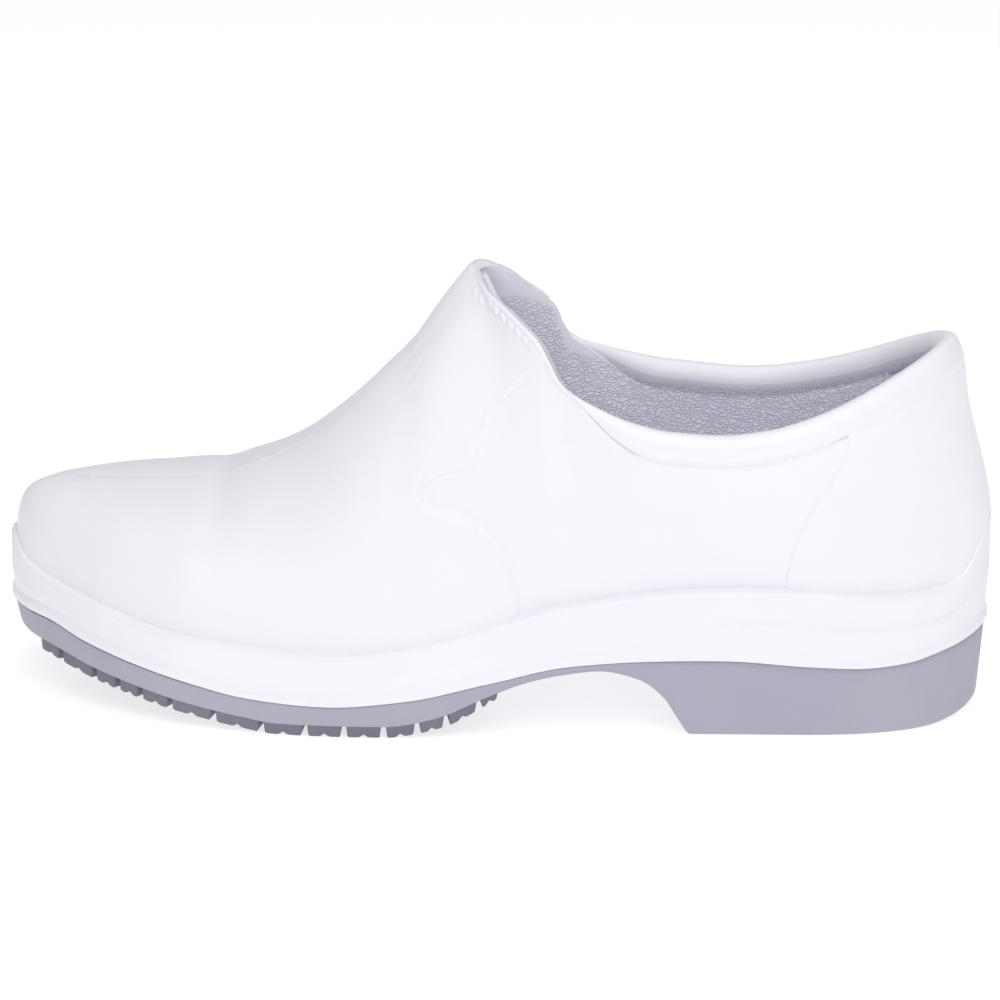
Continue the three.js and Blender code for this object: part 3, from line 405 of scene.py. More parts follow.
class NodeBoard:
    """Adds shader nodes to a tree and joins them."""

    def __init__(self, tree: bpy.types.NodeTree) -> None:
        """Keep the tree."""
        self.tree = tree

    def add(self, kind: str, values: dict | None = None, **settings: object) -> bpy.types.Node:
        """Add a node.

        Args:
            kind: the node's type.
            values: its input values or the sockets that feed them, by name or number.
            settings: its own settings.

        Returns:
            The node.
        """
        node = self.tree.nodes.new(kind)
        for name, value in settings.items():
            setattr(node, name, value)
        for name, value in (values or {}).items():
            if isinstance(value, bpy.types.NodeSocket):
                self.tree.links.new(value, node.inputs[name])
            else:
                node.inputs[name].default_value = value
        return node

    def math(self, operation: str, *values: object) -> bpy.types.NodeSocket:
        """Work out a number from others."""
        return self.add("ShaderNodeMath", dict(enumerate(values)), operation=operation).outputs[0]

    def between(self, value: object, low: float, high: float, start: float = 0.0, end: float = 1.0) -> bpy.types.NodeSocket:
        """Map a number softly from one span to another."""
        values = {"Value": value, "From Min": low, "From Max": high, "To Min": start, "To Max": end}
        return self.add("ShaderNodeMapRange", values, interpolation_type="SMOOTHSTEP").outputs["Result"]

    def blend(self, share: object, first: object, second: object) -> bpy.types.NodeSocket:
        """Blend two colours."""
        node = self.add("ShaderNodeMix", data_type="RGBA")
        for number, value in ((0, share), (6, first), (7, second)):
            if isinstance(value, bpy.types.NodeSocket):
                self.tree.links.new(value, node.inputs[number])
            else:
                node.inputs[number].default_value = value
        return node.outputs[2]


def effect(name: str, inputs: dict[str, str], outputs: dict[str, str]) -> tuple[bpy.types.NodeTree, NodeBoard, object, object]:
    """Start a node group with named sockets.

    Args:
        name: the group's name.
        inputs: socket types by input name.
        outputs: socket types by output name.

    Returns:
        The group, its board, and its input and output nodes.
    """
    group = bpy.data.node_groups.new(name, "ShaderNodeTree")
    for label, kind in inputs.items():
        group.interface.new_socket(name=label, in_out="INPUT", socket_type=kind)
    for label, kind in outputs.items():
        group.interface.new_socket(name=label, in_out="OUTPUT", socket_type=kind)
    board = NodeBoard(group)
    return group, board, board.add("NodeGroupInput"), board.add("NodeGroupOutput")


def moulded_tone() -> bpy.types.NodeTree:
    """Build the effect of slow, cloudy changes of tone in a moulded surface."""
    if "moulded_tone" in bpy.data.node_groups:
        return bpy.data.node_groups["moulded_tone"]
    number, colour = "NodeSocketFloat", "NodeSocketColor"
    group, board, taken, given = effect(
        "moulded_tone", {"Light": colour, "Shade": colour, "Scale": number}, {"Colour": colour, "Cloud": number}
    )
    place = board.add("ShaderNodeTexCoord").outputs["Object"]
    broad = board.add("ShaderNodeTexNoise", {"Vector": place, "Scale": taken.outputs["Scale"], "Detail": 3.0})
    finer = board.math("MULTIPLY", taken.outputs["Scale"], 7.0)
    small = board.add("ShaderNodeTexNoise", {"Vector": place, "Scale": finer, "Detail": 2.0})
    both = board.math("ADD", board.math("MULTIPLY", broad.outputs[0], 0.75), board.math("MULTIPLY", small.outputs[0], 0.25))
    cloud = board.between(both, 0.35, 0.65)
    mixed = board.blend(cloud, taken.outputs["Light"], taken.outputs["Shade"])
    board.tree.links.new(mixed, given.inputs["Colour"])
    board.tree.links.new(cloud, given.inputs["Cloud"])
    return group


def fine_grain() -> bpy.types.NodeTree:
    """Build the effect of the mould's fine grain."""
    if "fine_grain" in bpy.data.node_groups:
        return bpy.data.node_groups["fine_grain"]
    group, board, taken, given = effect("fine_grain", {"Scale": "NodeSocketFloat"}, {"Height": "NodeSocketFloat"})
    place = board.add("ShaderNodeTexCoord").outputs["Object"]
    grit = board.add("ShaderNodeTexNoise", {"Vector": place, "Scale": taken.outputs["Scale"], "Detail": 4.0})
    broad = board.math("MULTIPLY", taken.outputs["Scale"], 0.08)
    wave = board.add("ShaderNodeTexNoise", {"Vector": place, "Scale": broad, "Detail": 1.0})
    height = board.math("ADD", board.math("MULTIPLY", grit.outputs[0], 0.5), wave.outputs[0])
    board.tree.links.new(height, given.inputs["Height"])
    return group


def pebble_relief() -> bpy.types.NodeTree:
    """Build the effect of a leather-like relief of flat pebbles."""
    if "pebble_relief" in bpy.data.node_groups:
        return bpy.data.node_groups["pebble_relief"]
    number = "NodeSocketFloat"
    group, board, taken, given = effect("pebble_relief", {"Scale": number}, {"Height": number, "Hollow": number})
    place = board.add("ShaderNodeTexCoord").outputs["Object"]
    warp = board.add("ShaderNodeTexNoise", {"Vector": place, "Scale": 190.0, "Detail": 2.0}).outputs["Color"]
    moved = board.add("ShaderNodeVectorMath", {0: warp, 1: (-0.5, -0.5, -0.5)}, operation="ADD").outputs[0]
    small = board.add("ShaderNodeVectorMath", {0: moved, "Scale": 0.0042}, operation="SCALE").outputs[0]
    bent = board.add("ShaderNodeVectorMath", {0: place, 1: small}, operation="ADD").outputs[0]
    flat = board.add("ShaderNodeVectorMath", {0: bent, 1: (1.0, 1.0, 1.75)}, operation="MULTIPLY").outputs[0]
    cells = board.add(
        "ShaderNodeTexVoronoi", {"Vector": flat, "Scale": taken.outputs["Scale"]}, feature="DISTANCE_TO_EDGE"
    ).outputs["Distance"]
    pebble = board.between(cells, 0.0, 0.22)
    grit = board.add("ShaderNodeTexNoise", {"Vector": place, "Scale": 900.0, "Detail": 2.0}).outputs[0]
    height = board.math("ADD", pebble, board.math("MULTIPLY", grit, 0.18))
    board.tree.links.new(height, given.inputs["Height"])
    # The Hollow mask also drives the painted shade in the hollows between the pebbles.
    board.tree.links.new(board.math("SUBTRACT", 1.0, pebble), given.inputs["Hollow"])
    return group


@dataclass(frozen=True)
class Finish:
    """What a piece is made of, as a maker would say it; some finishes also carry painted shade in their colours."""

    name: str
    light: Colour
    shade: Colour
    roughness: float
    cloud_scale: float = 16.0
    grain_scale: float = 1400.0
    grain_depth: float = 0.00003
    coat: float = 0.0
    relief: Relief = Relief.SATIN
    pebble_scale: float = 600.0
    pebble_depth: float = 0.00017
    # Colour of the painted shade in the pebbles' hollows, not a colour of the foam itself.
    hollow_shade: Colour = (0.2, 0.2, 0.25, 1.0)

    def material(self) -> bpy.types.Material:
        """Build the material, once.

        Returns:
            The material.
        """
        if self.name in bpy.data.materials:
            return bpy.data.materials[self.name]
        made = bpy.data.materials.new(self.name)
        made.use_nodes = True
        made.node_tree.nodes.clear()
        board = NodeBoard(made.node_tree)
        tone = board.add("ShaderNodeGroup", node_tree=moulded_tone())
        tone.inputs["Light"].default_value = self.light
        tone.inputs["Shade"].default_value = self.shade
        tone.inputs["Scale"].default_value = self.cloud_scale
        grain = board.add("ShaderNodeGroup", node_tree=fine_grain())
        grain.inputs["Scale"].default_value = self.grain_scale
        colour = tone.outputs["Colour"]
        bump = board.add("ShaderNodeBump", {"Height": grain.outputs[0], "Distance": self.grain_depth, "Strength": 1.0})
        if self.relief is Relief.PEBBLED:
            colour, bump = self.pebbled(board, colour, bump)
        rough = board.between(tone.outputs["Cloud"], 0, 1, self.roughness - 0.04, self.roughness + 0.04)
        shader = board.add(
            "ShaderNodeBsdfPrincipled",
            {"Base Color": colour, "Roughness": rough, "Normal": bump.outputs[0], "Coat Weight": self.coat},
        )
        shader.inputs["Coat Roughness"].default_value = 0.35
        shader.inputs["Specular IOR Level"].default_value = 0.45
        board.add("ShaderNodeOutputMaterial", {"Surface": shader.outputs[0]})
        return made

    def pebbled(self, board: NodeBoard, colour: object, bump: bpy.types.Node) -> tuple[object, bpy.types.Node]:
        """Add the pebbled relief where the piece is marked for it, with painted shade darkening the hollows between
        the pebbles.

        Args:
            board: the material's board.
            colour: the colour so far.
            bump: the bump so far.

        Returns:
            The new colour with its painted shade in the hollows, and the new bump.
        """
        pebbles = board.add("ShaderNodeGroup", node_tree=pebble_relief())
        pebbles.inputs["Scale"].default_value = self.pebble_scale
        share = board.add("ShaderNodeAttribute", attribute_name="pebble_share").outputs["Fac"]
        height = board.math("MULTIPLY", pebbles.outputs["Height"], share)
        # Painted shade: the colour is darkened towards the hollow colour in the hollows between the pebbles.
        deep = board.math("MULTIPLY", board.math("MULTIPLY", pebbles.outputs["Hollow"], share), 0.75)
        raised = board.add(
            "ShaderNodeBump",
            {"Height": height, "Distance": self.pebble_depth, "Strength": 1.0, "Normal": bump.outputs[0]},
        )
        return board.blend(deep, colour, self.hollow_shade), raised


SATIN_FOAM = Finish("white_moulded_foam", srgb(246, 245, 250), srgb(243, 242, 248), 0.42, coat=0.08)
# The inside is the same white foam as the outside; its darker hollow colour is painted shade between the pebbles.
PEBBLED_FOAM = Finish(
    "pebbled_foam_inside", srgb(249, 247, 255), srgb(246, 244, 254), 0.45,
    relief=Relief.PEBBLED, hollow_shade=srgb(222, 220, 238),
)
RUBBER = Finish("grey_rubber", srgb(176, 176, 190), srgb(170, 170, 185), 0.58, grain_scale=1100.0, grain_depth=0.00005)
# The lugs are the same grey rubber as the body; this darker copy is painted shade for the lugs' down-facing faces
# under the sole.
SHADED_TREAD_RUBBER = Finish("tread_rubber_painted_shade", srgb(126, 126, 138), srgb(114, 114, 127), 0.68, grain_scale=800.0, grain_depth=0.00008)
INSOLE_FABRIC = Finish(
    "insole_knit", srgb(196, 196, 208), srgb(182, 182, 196), 0.85, cloud_scale=60.0,
    grain_scale=1500.0, grain_depth=0.00012,
)


@dataclass(frozen=True)
class Placing:
    """Turns the last's millimetres into the frame's metres."""

    across: float

    @classmethod
    def over(cls, lines: LastLines, node: str) -> Placing:
        """Centre the lines on a CAD node.

        Args:
            lines: the shoe's lines.
            node: the node whose box the outline fills.

        Returns:
            The placing for that node.
        """
        low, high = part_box(node)
        outline = lines.outline(np.linspace(0, 2, 4001))[:, 1]
        return cls(((low[1] + high[1]) / MM - outline.min() - outline.max()) / 2)

    def metres(self, points: Array) -> Array:
        """Points in the frame's metres."""
        return (points + np.array([0.0, self.across, 0.0])) * MM


def piece(name: str, points: Array, faces: Array, finish: Finish) -> bpy.types.Object:
    """Make a smooth mesh piece that rides on the shoe.

    Args:
        name: the piece's name.
        points: its points in metres.
        faces: rows of three or four point numbers.
        finish: what it is made of.

    Returns:
        The new object.
    """
    mesh = bpy.data.meshes.new(name)
    mesh.from_pydata(points.tolist(), [], [tuple(dict.fromkeys(face)) for face in faces.tolist()])
    mesh.update()
    mesh.shade_smooth()
    mesh.materials.append(finish.material())
    made = bpy.data.objects.new(name, mesh)
    bpy.context.scene.collection.objects.link(made)
    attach(made, "root")
    log.info("%s: %d points, %d faces", name, len(points), len(mesh.polygons))
    return made


def quads(numbers: Array, closed: bool = True) -> Array:
    """Faces between rows of point numbers, from the lower row to the upper.

    Args:
        numbers: point numbers, one row above the other.
        closed: whether each row goes round the shoe.

    Returns:
        Rows of four point numbers.
    """
    after = np.roll(numbers, -1, axis=1)
    if not closed:
        numbers, after = numbers[:, :-1], after[:, :-1]
    return np.stack([numbers[:-1], after[:-1], after[1:], numbers[1:]], -1).reshape(-1, 4)


@dataclass(frozen=True)
class SidePanel:
    """The recessed panel between the vamp and the counter, in shares of the wall."""

    depth: float = 0.62
    offsets: tuple[float, ...] = (-2.6, -1.8, -1.1, -0.6, -0.3, 0.0, 0.35, 0.7, 1.1, 1.7, 2.6)
    front_share: tuple[float, ...] = (0, 0.2, 0, -0.08, 0, 0.6, 1.22, 1.15, 1.04, 1, 1)
    back_share: tuple[float, ...] = (1, 1, 1, 1.03, 1.2, 0.85, 0.25, 0.05, 0, 0, 0)
    front_columns: tuple[float, ...] = (
        -5.4, -4.8, -4.3, -3.8, -3.3, -2.8, -2.4, -2.0, -1.6, -1.2, -0.8, -0.4, 0.0,
        0.4, 0.8, 1.2, 1.6, 2.0, 2.4, 2.8, 3.3, 3.8, 4.4,
    )
    back_columns: tuple[float, ...] = (-2.4, -1.6, -1.1, -0.7, -0.4, -0.15, 0.1, 0.35, 0.65, 1.0, 1.5, 2.2)
    points: int = 260
    reach: float = 12.0

    def follow(self, table: Table, up: Array, offset: float, length: float) -> Array:
        """Shares of the length a few millimetres behind a line on the wall."""
        return through(table.column("up"), table.column("along"), up) + offset / length

    def behind(self, table: Table, lines: LastLines, loop: Array, up: Array, wall: Array) -> Array:
        """How far the wall's points lie behind an edge of the panel.

        Args:
            table: the edge's places on the wall.
            lines: the shoe's lines.
            loop: the points' places on the loop.
            up: their shares of the wall.
            wall: the points in millimetres.

        Returns:
            Millimetres, less than 0 ahead of the edge.
        """
        along, side = lines.place(loop)
        gap = along - through(table.column("up"), table.column("along"), up)
        distance = np.sign(gap) * self.reach
        level = np.linspace(0, 1, self.points)
        edge = through(table.column("up"), table.column("along"), level)
        for half in Side:
            curve = lines.wall(half.loop(edge), level)
            near = (np.abs(gap) * lines.length < self.reach) & (side == half.value)
            nearest = np.sqrt(((wall[near][:, None] - curve[None]) ** 2).sum(-1).min(-1))
            distance[near] = np.sign(gap[near]) * np.minimum(nearest, self.reach)
        return distance

    def recess(self, lines: LastLines, loop: Array, up: Array, wall: Array) -> Array:
        """How deep the wall's points lie in the panel, in millimetres."""
        front = np.interp(self.behind(PANEL_FRONT, lines, loop, up, wall), self.offsets, self.front_share)
        back = np.interp(self.behind(PANEL_BACK, lines, loop, up, wall), self.offsets, self.back_share)
        return self.depth * front * back


@dataclass(frozen=True)
class ColumnPlan:
    """Where the upper's columns run up the wall: some follow the side panel's edges."""

    lines: LastLines
    panel: SidePanel
    toe_columns: int = 54
    throat_near: int = 8
    throat_far: int = 50
    side_columns: int = 72
    counter_columns: int = 54

    def stations(self) -> Array:
        """Shares of the stretch from the toe to the panel; one station is the throat's peak."""
        last = self.panel.follow(PANEL_TRACK, np.array(1.0), self.panel.front_columns[0], self.lines.length)
        full = turn_at(last)
        peak = turn_at(self.lines.throat) / full
        near = turn_at(self.lines.throat - 0.014) / full
        toe = np.linspace(0, near, self.toe_columns, endpoint=False)
        before = np.linspace(near, peak, self.throat_near, endpoint=False)
        behind = np.linspace(0, 1, self.throat_far, endpoint=False)
        return np.concatenate([toe, before, peak + (1 - peak) * behind * (0.45 + 0.55 * behind)])

    def along(self, up: Array) -> Array:
        """Places of one side's columns.

        Args:
            up: shares of the wall, rows by columns.

        Returns:
            Shares of the length, from the toe to the heel.
        """
        length, panel = self.lines.length, self.panel
        ahead, after = panel.front_columns, panel.back_columns
        stations = self.stations()
        ends = np.cumsum([len(stations), len(ahead), self.side_columns, len(after)])
        vamp, front, side, back, counter = np.split(up, ends, axis=1)
        full = turn_at(panel.follow(PANEL_TRACK, np.ones_like(vamp), ahead[0], length))
        led = turn_at(panel.follow(PANEL_TRACK, vamp, ahead[0], length))
        parts = [along_at(stations * full - (full - led) * smooth(0.4, 1, stations))]
        parts.append(panel.follow(PANEL_TRACK, front, np.array(ahead), length))
        first = turn_at(panel.follow(PANEL_TRACK, side, ahead[-1], length))
        last = turn_at(panel.follow(PANEL_BACK, side, after[0], length))
        share = np.linspace(0, 1, self.side_columns + 2)[1:-1]
        parts.append(along_at(first * (1 - share) + last * share))
        parts.append(panel.follow(PANEL_BACK, back, np.array(after), length))
        last = turn_at(panel.follow(PANEL_BACK, counter, after[-1], length))
        share = np.linspace(0, 1, self.counter_columns + 2)[1:]
        parts.append(along_at(last * (1 - share) + share))
        return np.concatenate(parts, axis=1)

    def count(self) -> int:
        """How many columns one side has, with the toe's and the heel's."""
        panel = len(self.panel.front_columns) + len(self.panel.back_columns)
        vamp = self.toe_columns + self.throat_near + self.throat_far
        return vamp + panel + self.side_columns + self.counter_columns + 1


@dataclass
class MouldedUpper:
    """The white moulding: side band, wall, collar roll and the textured inside."""

    lines: LastLines
    placing: Placing
    panel: SidePanel = field(default_factory=SidePanel)
    wall: float = 3.6
    roll_bulge: float = 2.8
    roll_inside: float = 1.2
    collar_pad: float = 2.4
    pinch: float = 0.38
    pinch_width: float = 1.1
    pad_starts: float = 0.3
    lip_height: float = 3.6
    lip_depth: float = 0.7
    rib_depth: float = 0.8
    rib_place: float = 0.53
    rim_round: float = 1.15
    ridge_width: float = 3.5
    floor_edge: float = 7.6
    floor_fillet: float = 2.0
    strip_throat: float = 14.0
    strip_ear: float = 5.0
    strip_back: float = 0.8
    white_rim: int = 20
    forefoot_floor: float = 7.6
    heel_floor: float = 13.0
    wall_rows: int = 84
    corner_level: float = 0.395
    corner_spread: float = 0.035
    corner_crowd: float = 5.0
    peak_rounding: int = 260
    bead_height: float = 0.3
    bead_width: float = 0.9
    seam_depth: float = 0.22
    seam_from_edge: float = 1.8
    seam_width: float = 0.4
    rows_low: tuple[float, ...] = (0, 0.25, 0.6, 1.1, 1.8, 2.8, 4.0)
    rows_high: tuple[float, ...] = (5, 4.1, 3.4, 2.8, 2.3, 1.9, 1.5, 1.2, 0.95, 0.72, 0.5, 0.32, 0.16, 0)

    def __post_init__(self) -> None:
        """Lay out the columns and the wall's grid."""
        self.plan = ColumnPlan(self.lines, self.panel)
        self.lay_wall()

    def loops(self, along: Array) -> Array:
        """Places on the loop for one side's shares of the length, and the other side's."""
        turned = turn_at(along)
        return np.concatenate([turned, 2 - turned[..., -2:0:-1]], -1)

    def lay_wall(self) -> None:
        """Work out the wall's grid from the ledge to the top line, before any relief."""
        count = self.plan.count()
        foot = self.plan.along(np.zeros((1, count)))
        head = self.plan.along(np.ones((1, count)))
        self.foot_loop = self.loops(foot)[0]
        self.head_loop = self.loops(head)[0]
        low_speed, high_speed = self.speeds()
        low = np.array(self.rows_low)[:, None] / low_speed
        high = 1 - np.array(self.rows_high)[:, None] / high_speed
        up = np.concatenate([low, low[-1] + (high[0] - low[-1]) * self.row_shares()[:, None], high])
        outer = turn_at(self.plan.along(up[:, :count]))
        inner = turn_at(self.plan.along(np.concatenate([up[:, :1], up[:, :count - 2:-1]], 1)))
        self.up = up
        self.loop = np.concatenate([outer, 2 - inner[:, -2:0:-1]], 1)
        self.from_top = (1 - up) * high_speed
        self.base = self.lines.wall(self.loop, up)
        self.facing = self.wall_normals()
        self.round_peak()
        collar = self.lines.is_collar(self.head_loop)
        top = self.lines.top_normal(self.head_loop)
        self.facing[-1] = np.where(collar[:, None], top, self.facing[-1])
        self.collar = collar
        self.facing[-1][~collar] = self.paired(self.facing[-1])[~collar]

    def round_peak(self) -> None:
        """Round off the crease that runs down the wall from the throat's peak."""
        rim = smooth(1.0, 9.0, self.from_top)
        along, _ = self.lines.place(self.loop)
        weight = rim * (1 - smooth(0.02, 0.055, np.abs(along - self.lines.throat)))
        for grid in (self.base, self.facing):
            for _ in range(self.peak_rounding):
                mean = (np.roll(grid, 1, axis=1) + np.roll(grid, -1, axis=1)) / 2
                grid += (mean - grid) * weight[..., None] * 0.8

    def row_shares(self) -> Array:
        """Shares of the wall's middle rows, which crowd where the panel's corner lies."""
        even = np.linspace(0, 1, 400)
        crowd = np.cumsum(1 + self.corner_crowd * np.exp(-(((even - self.corner_level) / self.corner_spread) ** 2)))
        crowd = (crowd - crowd[0]) / (crowd[-1] - crowd[0])
        return np.interp(np.linspace(0, 1, self.wall_rows + 2)[1:-1], crowd, even)

    def wall_normals(self) -> Array:
        """Outward directions of the wall, from a step along it and a step up it."""
        collar = self.lines.is_collar(self.loop)
        steps = []
        for step in (-STEP, STEP):
            moved = self.loop + step / 4
            stays = self.lines.is_collar(moved) == collar
            steps.append(self.lines.wall(np.where(stays, moved, self.loop), self.up))
        low, high = np.clip(self.up - STEP, 0, 1), np.clip(self.up + STEP, 0, 1)
        rise = self.lines.wall(self.loop, high) - self.lines.wall(self.loop, low)
        return unit(np.cross(steps[1] - steps[0], rise))

    def paired(self, row: Array) -> Array:
        """The mean of each column and the one across from it."""
        across = np.roll(row[::-1], 1, axis=0)
        return unit(row + across)

    def speeds(self) -> tuple[Array, Array]:
        """Millimetres per share of the wall at its foot and at its top."""
        foot, lower, _, _ = self.lines.wall_frame(self.foot_loop)
        _, _, upper, top = self.lines.wall_frame(self.head_loop)
        low = 3 * np.linalg.norm(lower - foot, axis=-1)
        return low, 3 * np.linalg.norm(top - upper, axis=-1)

    def rim_distance(self) -> Array:
        """How far each point of the wall lies from the collar line."""
        peak = turn_at(self.lines.throat)
        run = np.linspace(peak, 2 - peak, 1601)
        rim = self.lines.top(run)
        distance = np.full(self.base.shape[:2], 99.0)
        for row in range(self.base.shape[0]):
            near = self.from_top[row] < 14
            gap = self.base[row][near][:, None] - rim[None]
            if near.any():
                distance[row][near] = np.sqrt((gap ** 2).sum(-1).min(-1))
        return distance

    def relief(self) -> Array:
        """How far each point of the wall is pushed in: panel, crest ridge and rounded rim."""
        roll = self.lines.roll(self.head_loop)
        recess = self.panel.recess(self.lines, self.loop, self.up, self.base)
        rim = self.rim_distance()
        fade = 1 - (1 - roll) * (1 - smooth(0.4, 2.4, rim))
        panel = recess * fade
        inner = np.clip(1 - rim / self.rim_round, 0, 1)
        rounded = self.rim_round * (1 - np.sqrt(1 - inner ** 2)) * (1 - roll)
        along, _ = self.lines.place(self.head_loop)
        width = self.ridge_width * (1 + 2 * (1 - smooth(0.03, 0.2, along)))
        near = np.clip(width - self.from_top, 0, None)
        ridge = math.tan(math.radians(self.lines.crest_angle)) * near ** 2 / (2 * width)
        ridge *= (1 - self.collar) * smooth(0, 6, rim)
        pinch = self.pinch * roll * np.exp(-((self.from_top / self.pinch_width) ** 2))
        place = self.lines.place(self.head_loop)[0]
        shown = smooth(0.19, 0.23, place) * (1 - smooth(0.38, 0.43, place)) * (1 - self.collar)
        bead = self.bead_height * shown * np.exp(-((self.from_top / self.bead_width) ** 2))
        throat = smooth(0.478, 0.49, place) * (1 - smooth(0.565, 0.58, place))
        seam = self.seam_depth * throat * np.exp(-(((rim - self.seam_from_edge) / self.seam_width) ** 2))
        return panel + rounded + ridge + pinch - bead + seam

    def band(self) -> Array:
        """The side band from the joint with the rubber up to the ledge."""
        along, _ = self.lines.place(self.foot_loop)
        edge = self.lines.edge_height(along)
        ledge = self.lines.ledge_height(along)
        under = self.lines.under_height(along)
        rib = edge + (ledge - edge) * self.rib_place
        step = self.rib_depth * smooth(0.7, 0.78, along) * (1 - 0.75 * smooth(0.95, 1, along))
        flat = np.zeros_like(along)
        slope = (under - edge) / self.lines.joint_slope
        rows = [(flat + d, edge + slope * d) for d in (6.0, 2.0, 0.6)]
        rows += [(flat + 0.2, edge + 0.03), (flat + 0.04, edge + 0.16), (flat, edge + 0.4)]
        for share in (0.28, 0.42, 0.52, 0.62, 0.72, 0.82, 0.92, 1.0):
            rows.append((flat + self.lip_depth * smooth(0.3, 1, np.array(share)), edge + self.lip_height * share))
        lip_top = edge + self.lip_height
        below = rib - self.rib_depth
        for share in (0.2, 0.45, 0.7, 0.9):
            rows.append((self.lip_depth * (1 - flat - share), lip_top + (below - lip_top) * share))
        rows += [(flat, below), (flat + 0.06 * step, below + 0.3), (step * 0.35, rib - 0.3)]
        rows += [(step * 0.8, rib - 0.12), (step, rib), (step, rib + 0.25)]
        top = self.lines.band_round
        shoulder = ledge - 1.3 * top
        for share in (0.25, 0.5, 0.75, 1.0):
            inset = step + (0.1 * top - step) * share
            rows.append((inset, rib + 0.25 + (shoulder - rib - 0.25) * share))
        for angle in (18, 36, 54, 72, 90):
            turned = math.radians(angle)
            inset = 0.1 * top + 0.9 * top * (1 - math.cos(turned))
            rows.append((flat + inset, shoulder + 1.3 * top * math.sin(turned)))
        for share in (0.35, 0.7, 0.92):
            inset = top + self.lines.ledge_width(along) * share
            rows.append((inset, ledge + self.lines.ledge_rise * share ** 2))
        return np.stack([self.lines.inside(self.foot_loop, inset, height) for inset, height in rows])

    def rim_rows(self) -> Array:
        """The rows over the collar's edge, from outside to inside; vamp columns stay on the crest."""
        roll = self.lines.roll(self.head_loop)[:, None, None]
        inner = self.wall + self.lines.roll(self.head_loop)[:, None] * self.collar_pad
        tuck, tall = self.lines.roll_tuck, self.lines.roll_height
        flat = np.zeros_like(inner)
        along, _ = self.lines.place(self.head_loop)
        bulge = self.roll_bulge * (1 - 0.4 * smooth(0.9, 1, along))[:, None]
        out = np.concatenate([
            flat + tuck, bulge, bulge * 0.45, -inner * 0.25,
            -inner * 0.62, tuck - inner - self.roll_inside, tuck - inner,
        ], 1)
        down = np.concatenate([flat + tall * s for s in (1, 0.52, 0.08, 0, 0.12, 0.5, 1.05)], 1)
        full = self.spline(np.stack([out, down], -1), 4)
        steps = np.linspace(0, 1, full.shape[1])
        radius = self.rim_round
        level = -(radius + (self.wall - 2 * radius) * np.clip(steps / 0.7, 0, 1))
        turned = np.clip((steps - 0.7) / 0.3, 0, 1) * math.pi / 2
        plain = np.stack([level - radius * np.sin(turned), radius * (1 - np.cos(turned))], -1)
        section = roll * full + (1 - roll) * plain
        top = self.lines.top(self.head_loop)
        normal = self.lines.top_normal(self.head_loop)
        down_wall = self.lines.down_wall(self.head_loop, normal)
        rows = top[:, None] + normal[:, None] * section[..., :1] + down_wall[:, None] * section[..., 1:]
        return rows.transpose(1, 0, 2)[1:]

    @staticmethod
    def spline(points: Array, steps: int) -> Array:
        """Round a section off with a curve through its points.

        Args:
            points: sections of points, one section per column.
            steps: how many points each span becomes.

        Returns:
            The finer sections.
        """
        ends = np.concatenate([2 * points[:, :1] - points[:, 1:2], points, 2 * points[:, -1:] - points[:, -2:-1]], 1)
        a, b, c, d = ends[:, :-3], ends[:, 1:-2], ends[:, 2:-1], ends[:, 3:]
        fine = []
        for t in np.arange(steps) / steps:
            bend = (2 * a - 5 * b + 4 * c - d) * t * t + (3 * b - a - 3 * c + d) * t ** 3
            fine.append(b + ((c - a) * t + bend) / 2)
        curve = np.stack(fine, 2).reshape(points.shape[0], -1, points.shape[2])
        return np.concatenate([curve, points[:, -1:]], 1)

    def joined(self, grid: Array, pair_row: int, rim: slice) -> tuple[Array, Array]:
        """Number a grid's points so that the vamp's two sides share the crest.

        Args:
            grid: rows of points round the shoe.
            pair_row: the row that lies on the top line.
            rim: the rows that go over the collar's edge.

        Returns:
            The points, and each grid place's point number.
        """
        rows, count = grid.shape[:2]
        numbers = np.arange(rows * count).reshape(rows, count)
        across = np.roll(np.arange(count)[::-1], 1)
        for column in range(count // 2 + 1, count):
            if not self.collar[column]:
                numbers[pair_row, column] = numbers[pair_row, across[column]]
        points = grid.reshape(-1, 3).copy()
        peak = np.flatnonzero(self.collar)
        numbers[rim, peak[-1]] = numbers[rim, peak[0]]
        return points, numbers

    def build_shell(self) -> bpy.types.Object:
        """Build the outside: band, ledge, wall and collar."""
        wall = self.base - self.facing * self.relief()[..., None]
        vamp = np.flatnonzero(~self.collar)
        across = (len(self.collar) - vamp) % len(self.collar)
        wall[-1][vamp] = (wall[-1][vamp] + wall[-1][across]) / 2
        band = self.band()
        rim = self.rim_rows()[: self.white_rim]
        grid = np.concatenate([band, wall, rim])
        first = len(band) + len(wall) - 1
        points, numbers = self.joined(grid, first, slice(first, None))
        faces = [quads(numbers[: first + 1])]
        open_columns = np.flatnonzero(self.collar)
        faces.append(quads(numbers[first:][:, open_columns], closed=False))
        shell = piece("moulded_upper", self.placing.metres(points), np.concatenate(faces), SATIN_FOAM)
        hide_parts("upper")
        return shell

    def floor_height(self, along: Array) -> Array:
        """Top of the footbed."""
        thick = self.forefoot_floor + (self.heel_floor - self.forefoot_floor) * smooth(0.35, 0.72, along)
        return self.lines.under_height(along) + thick

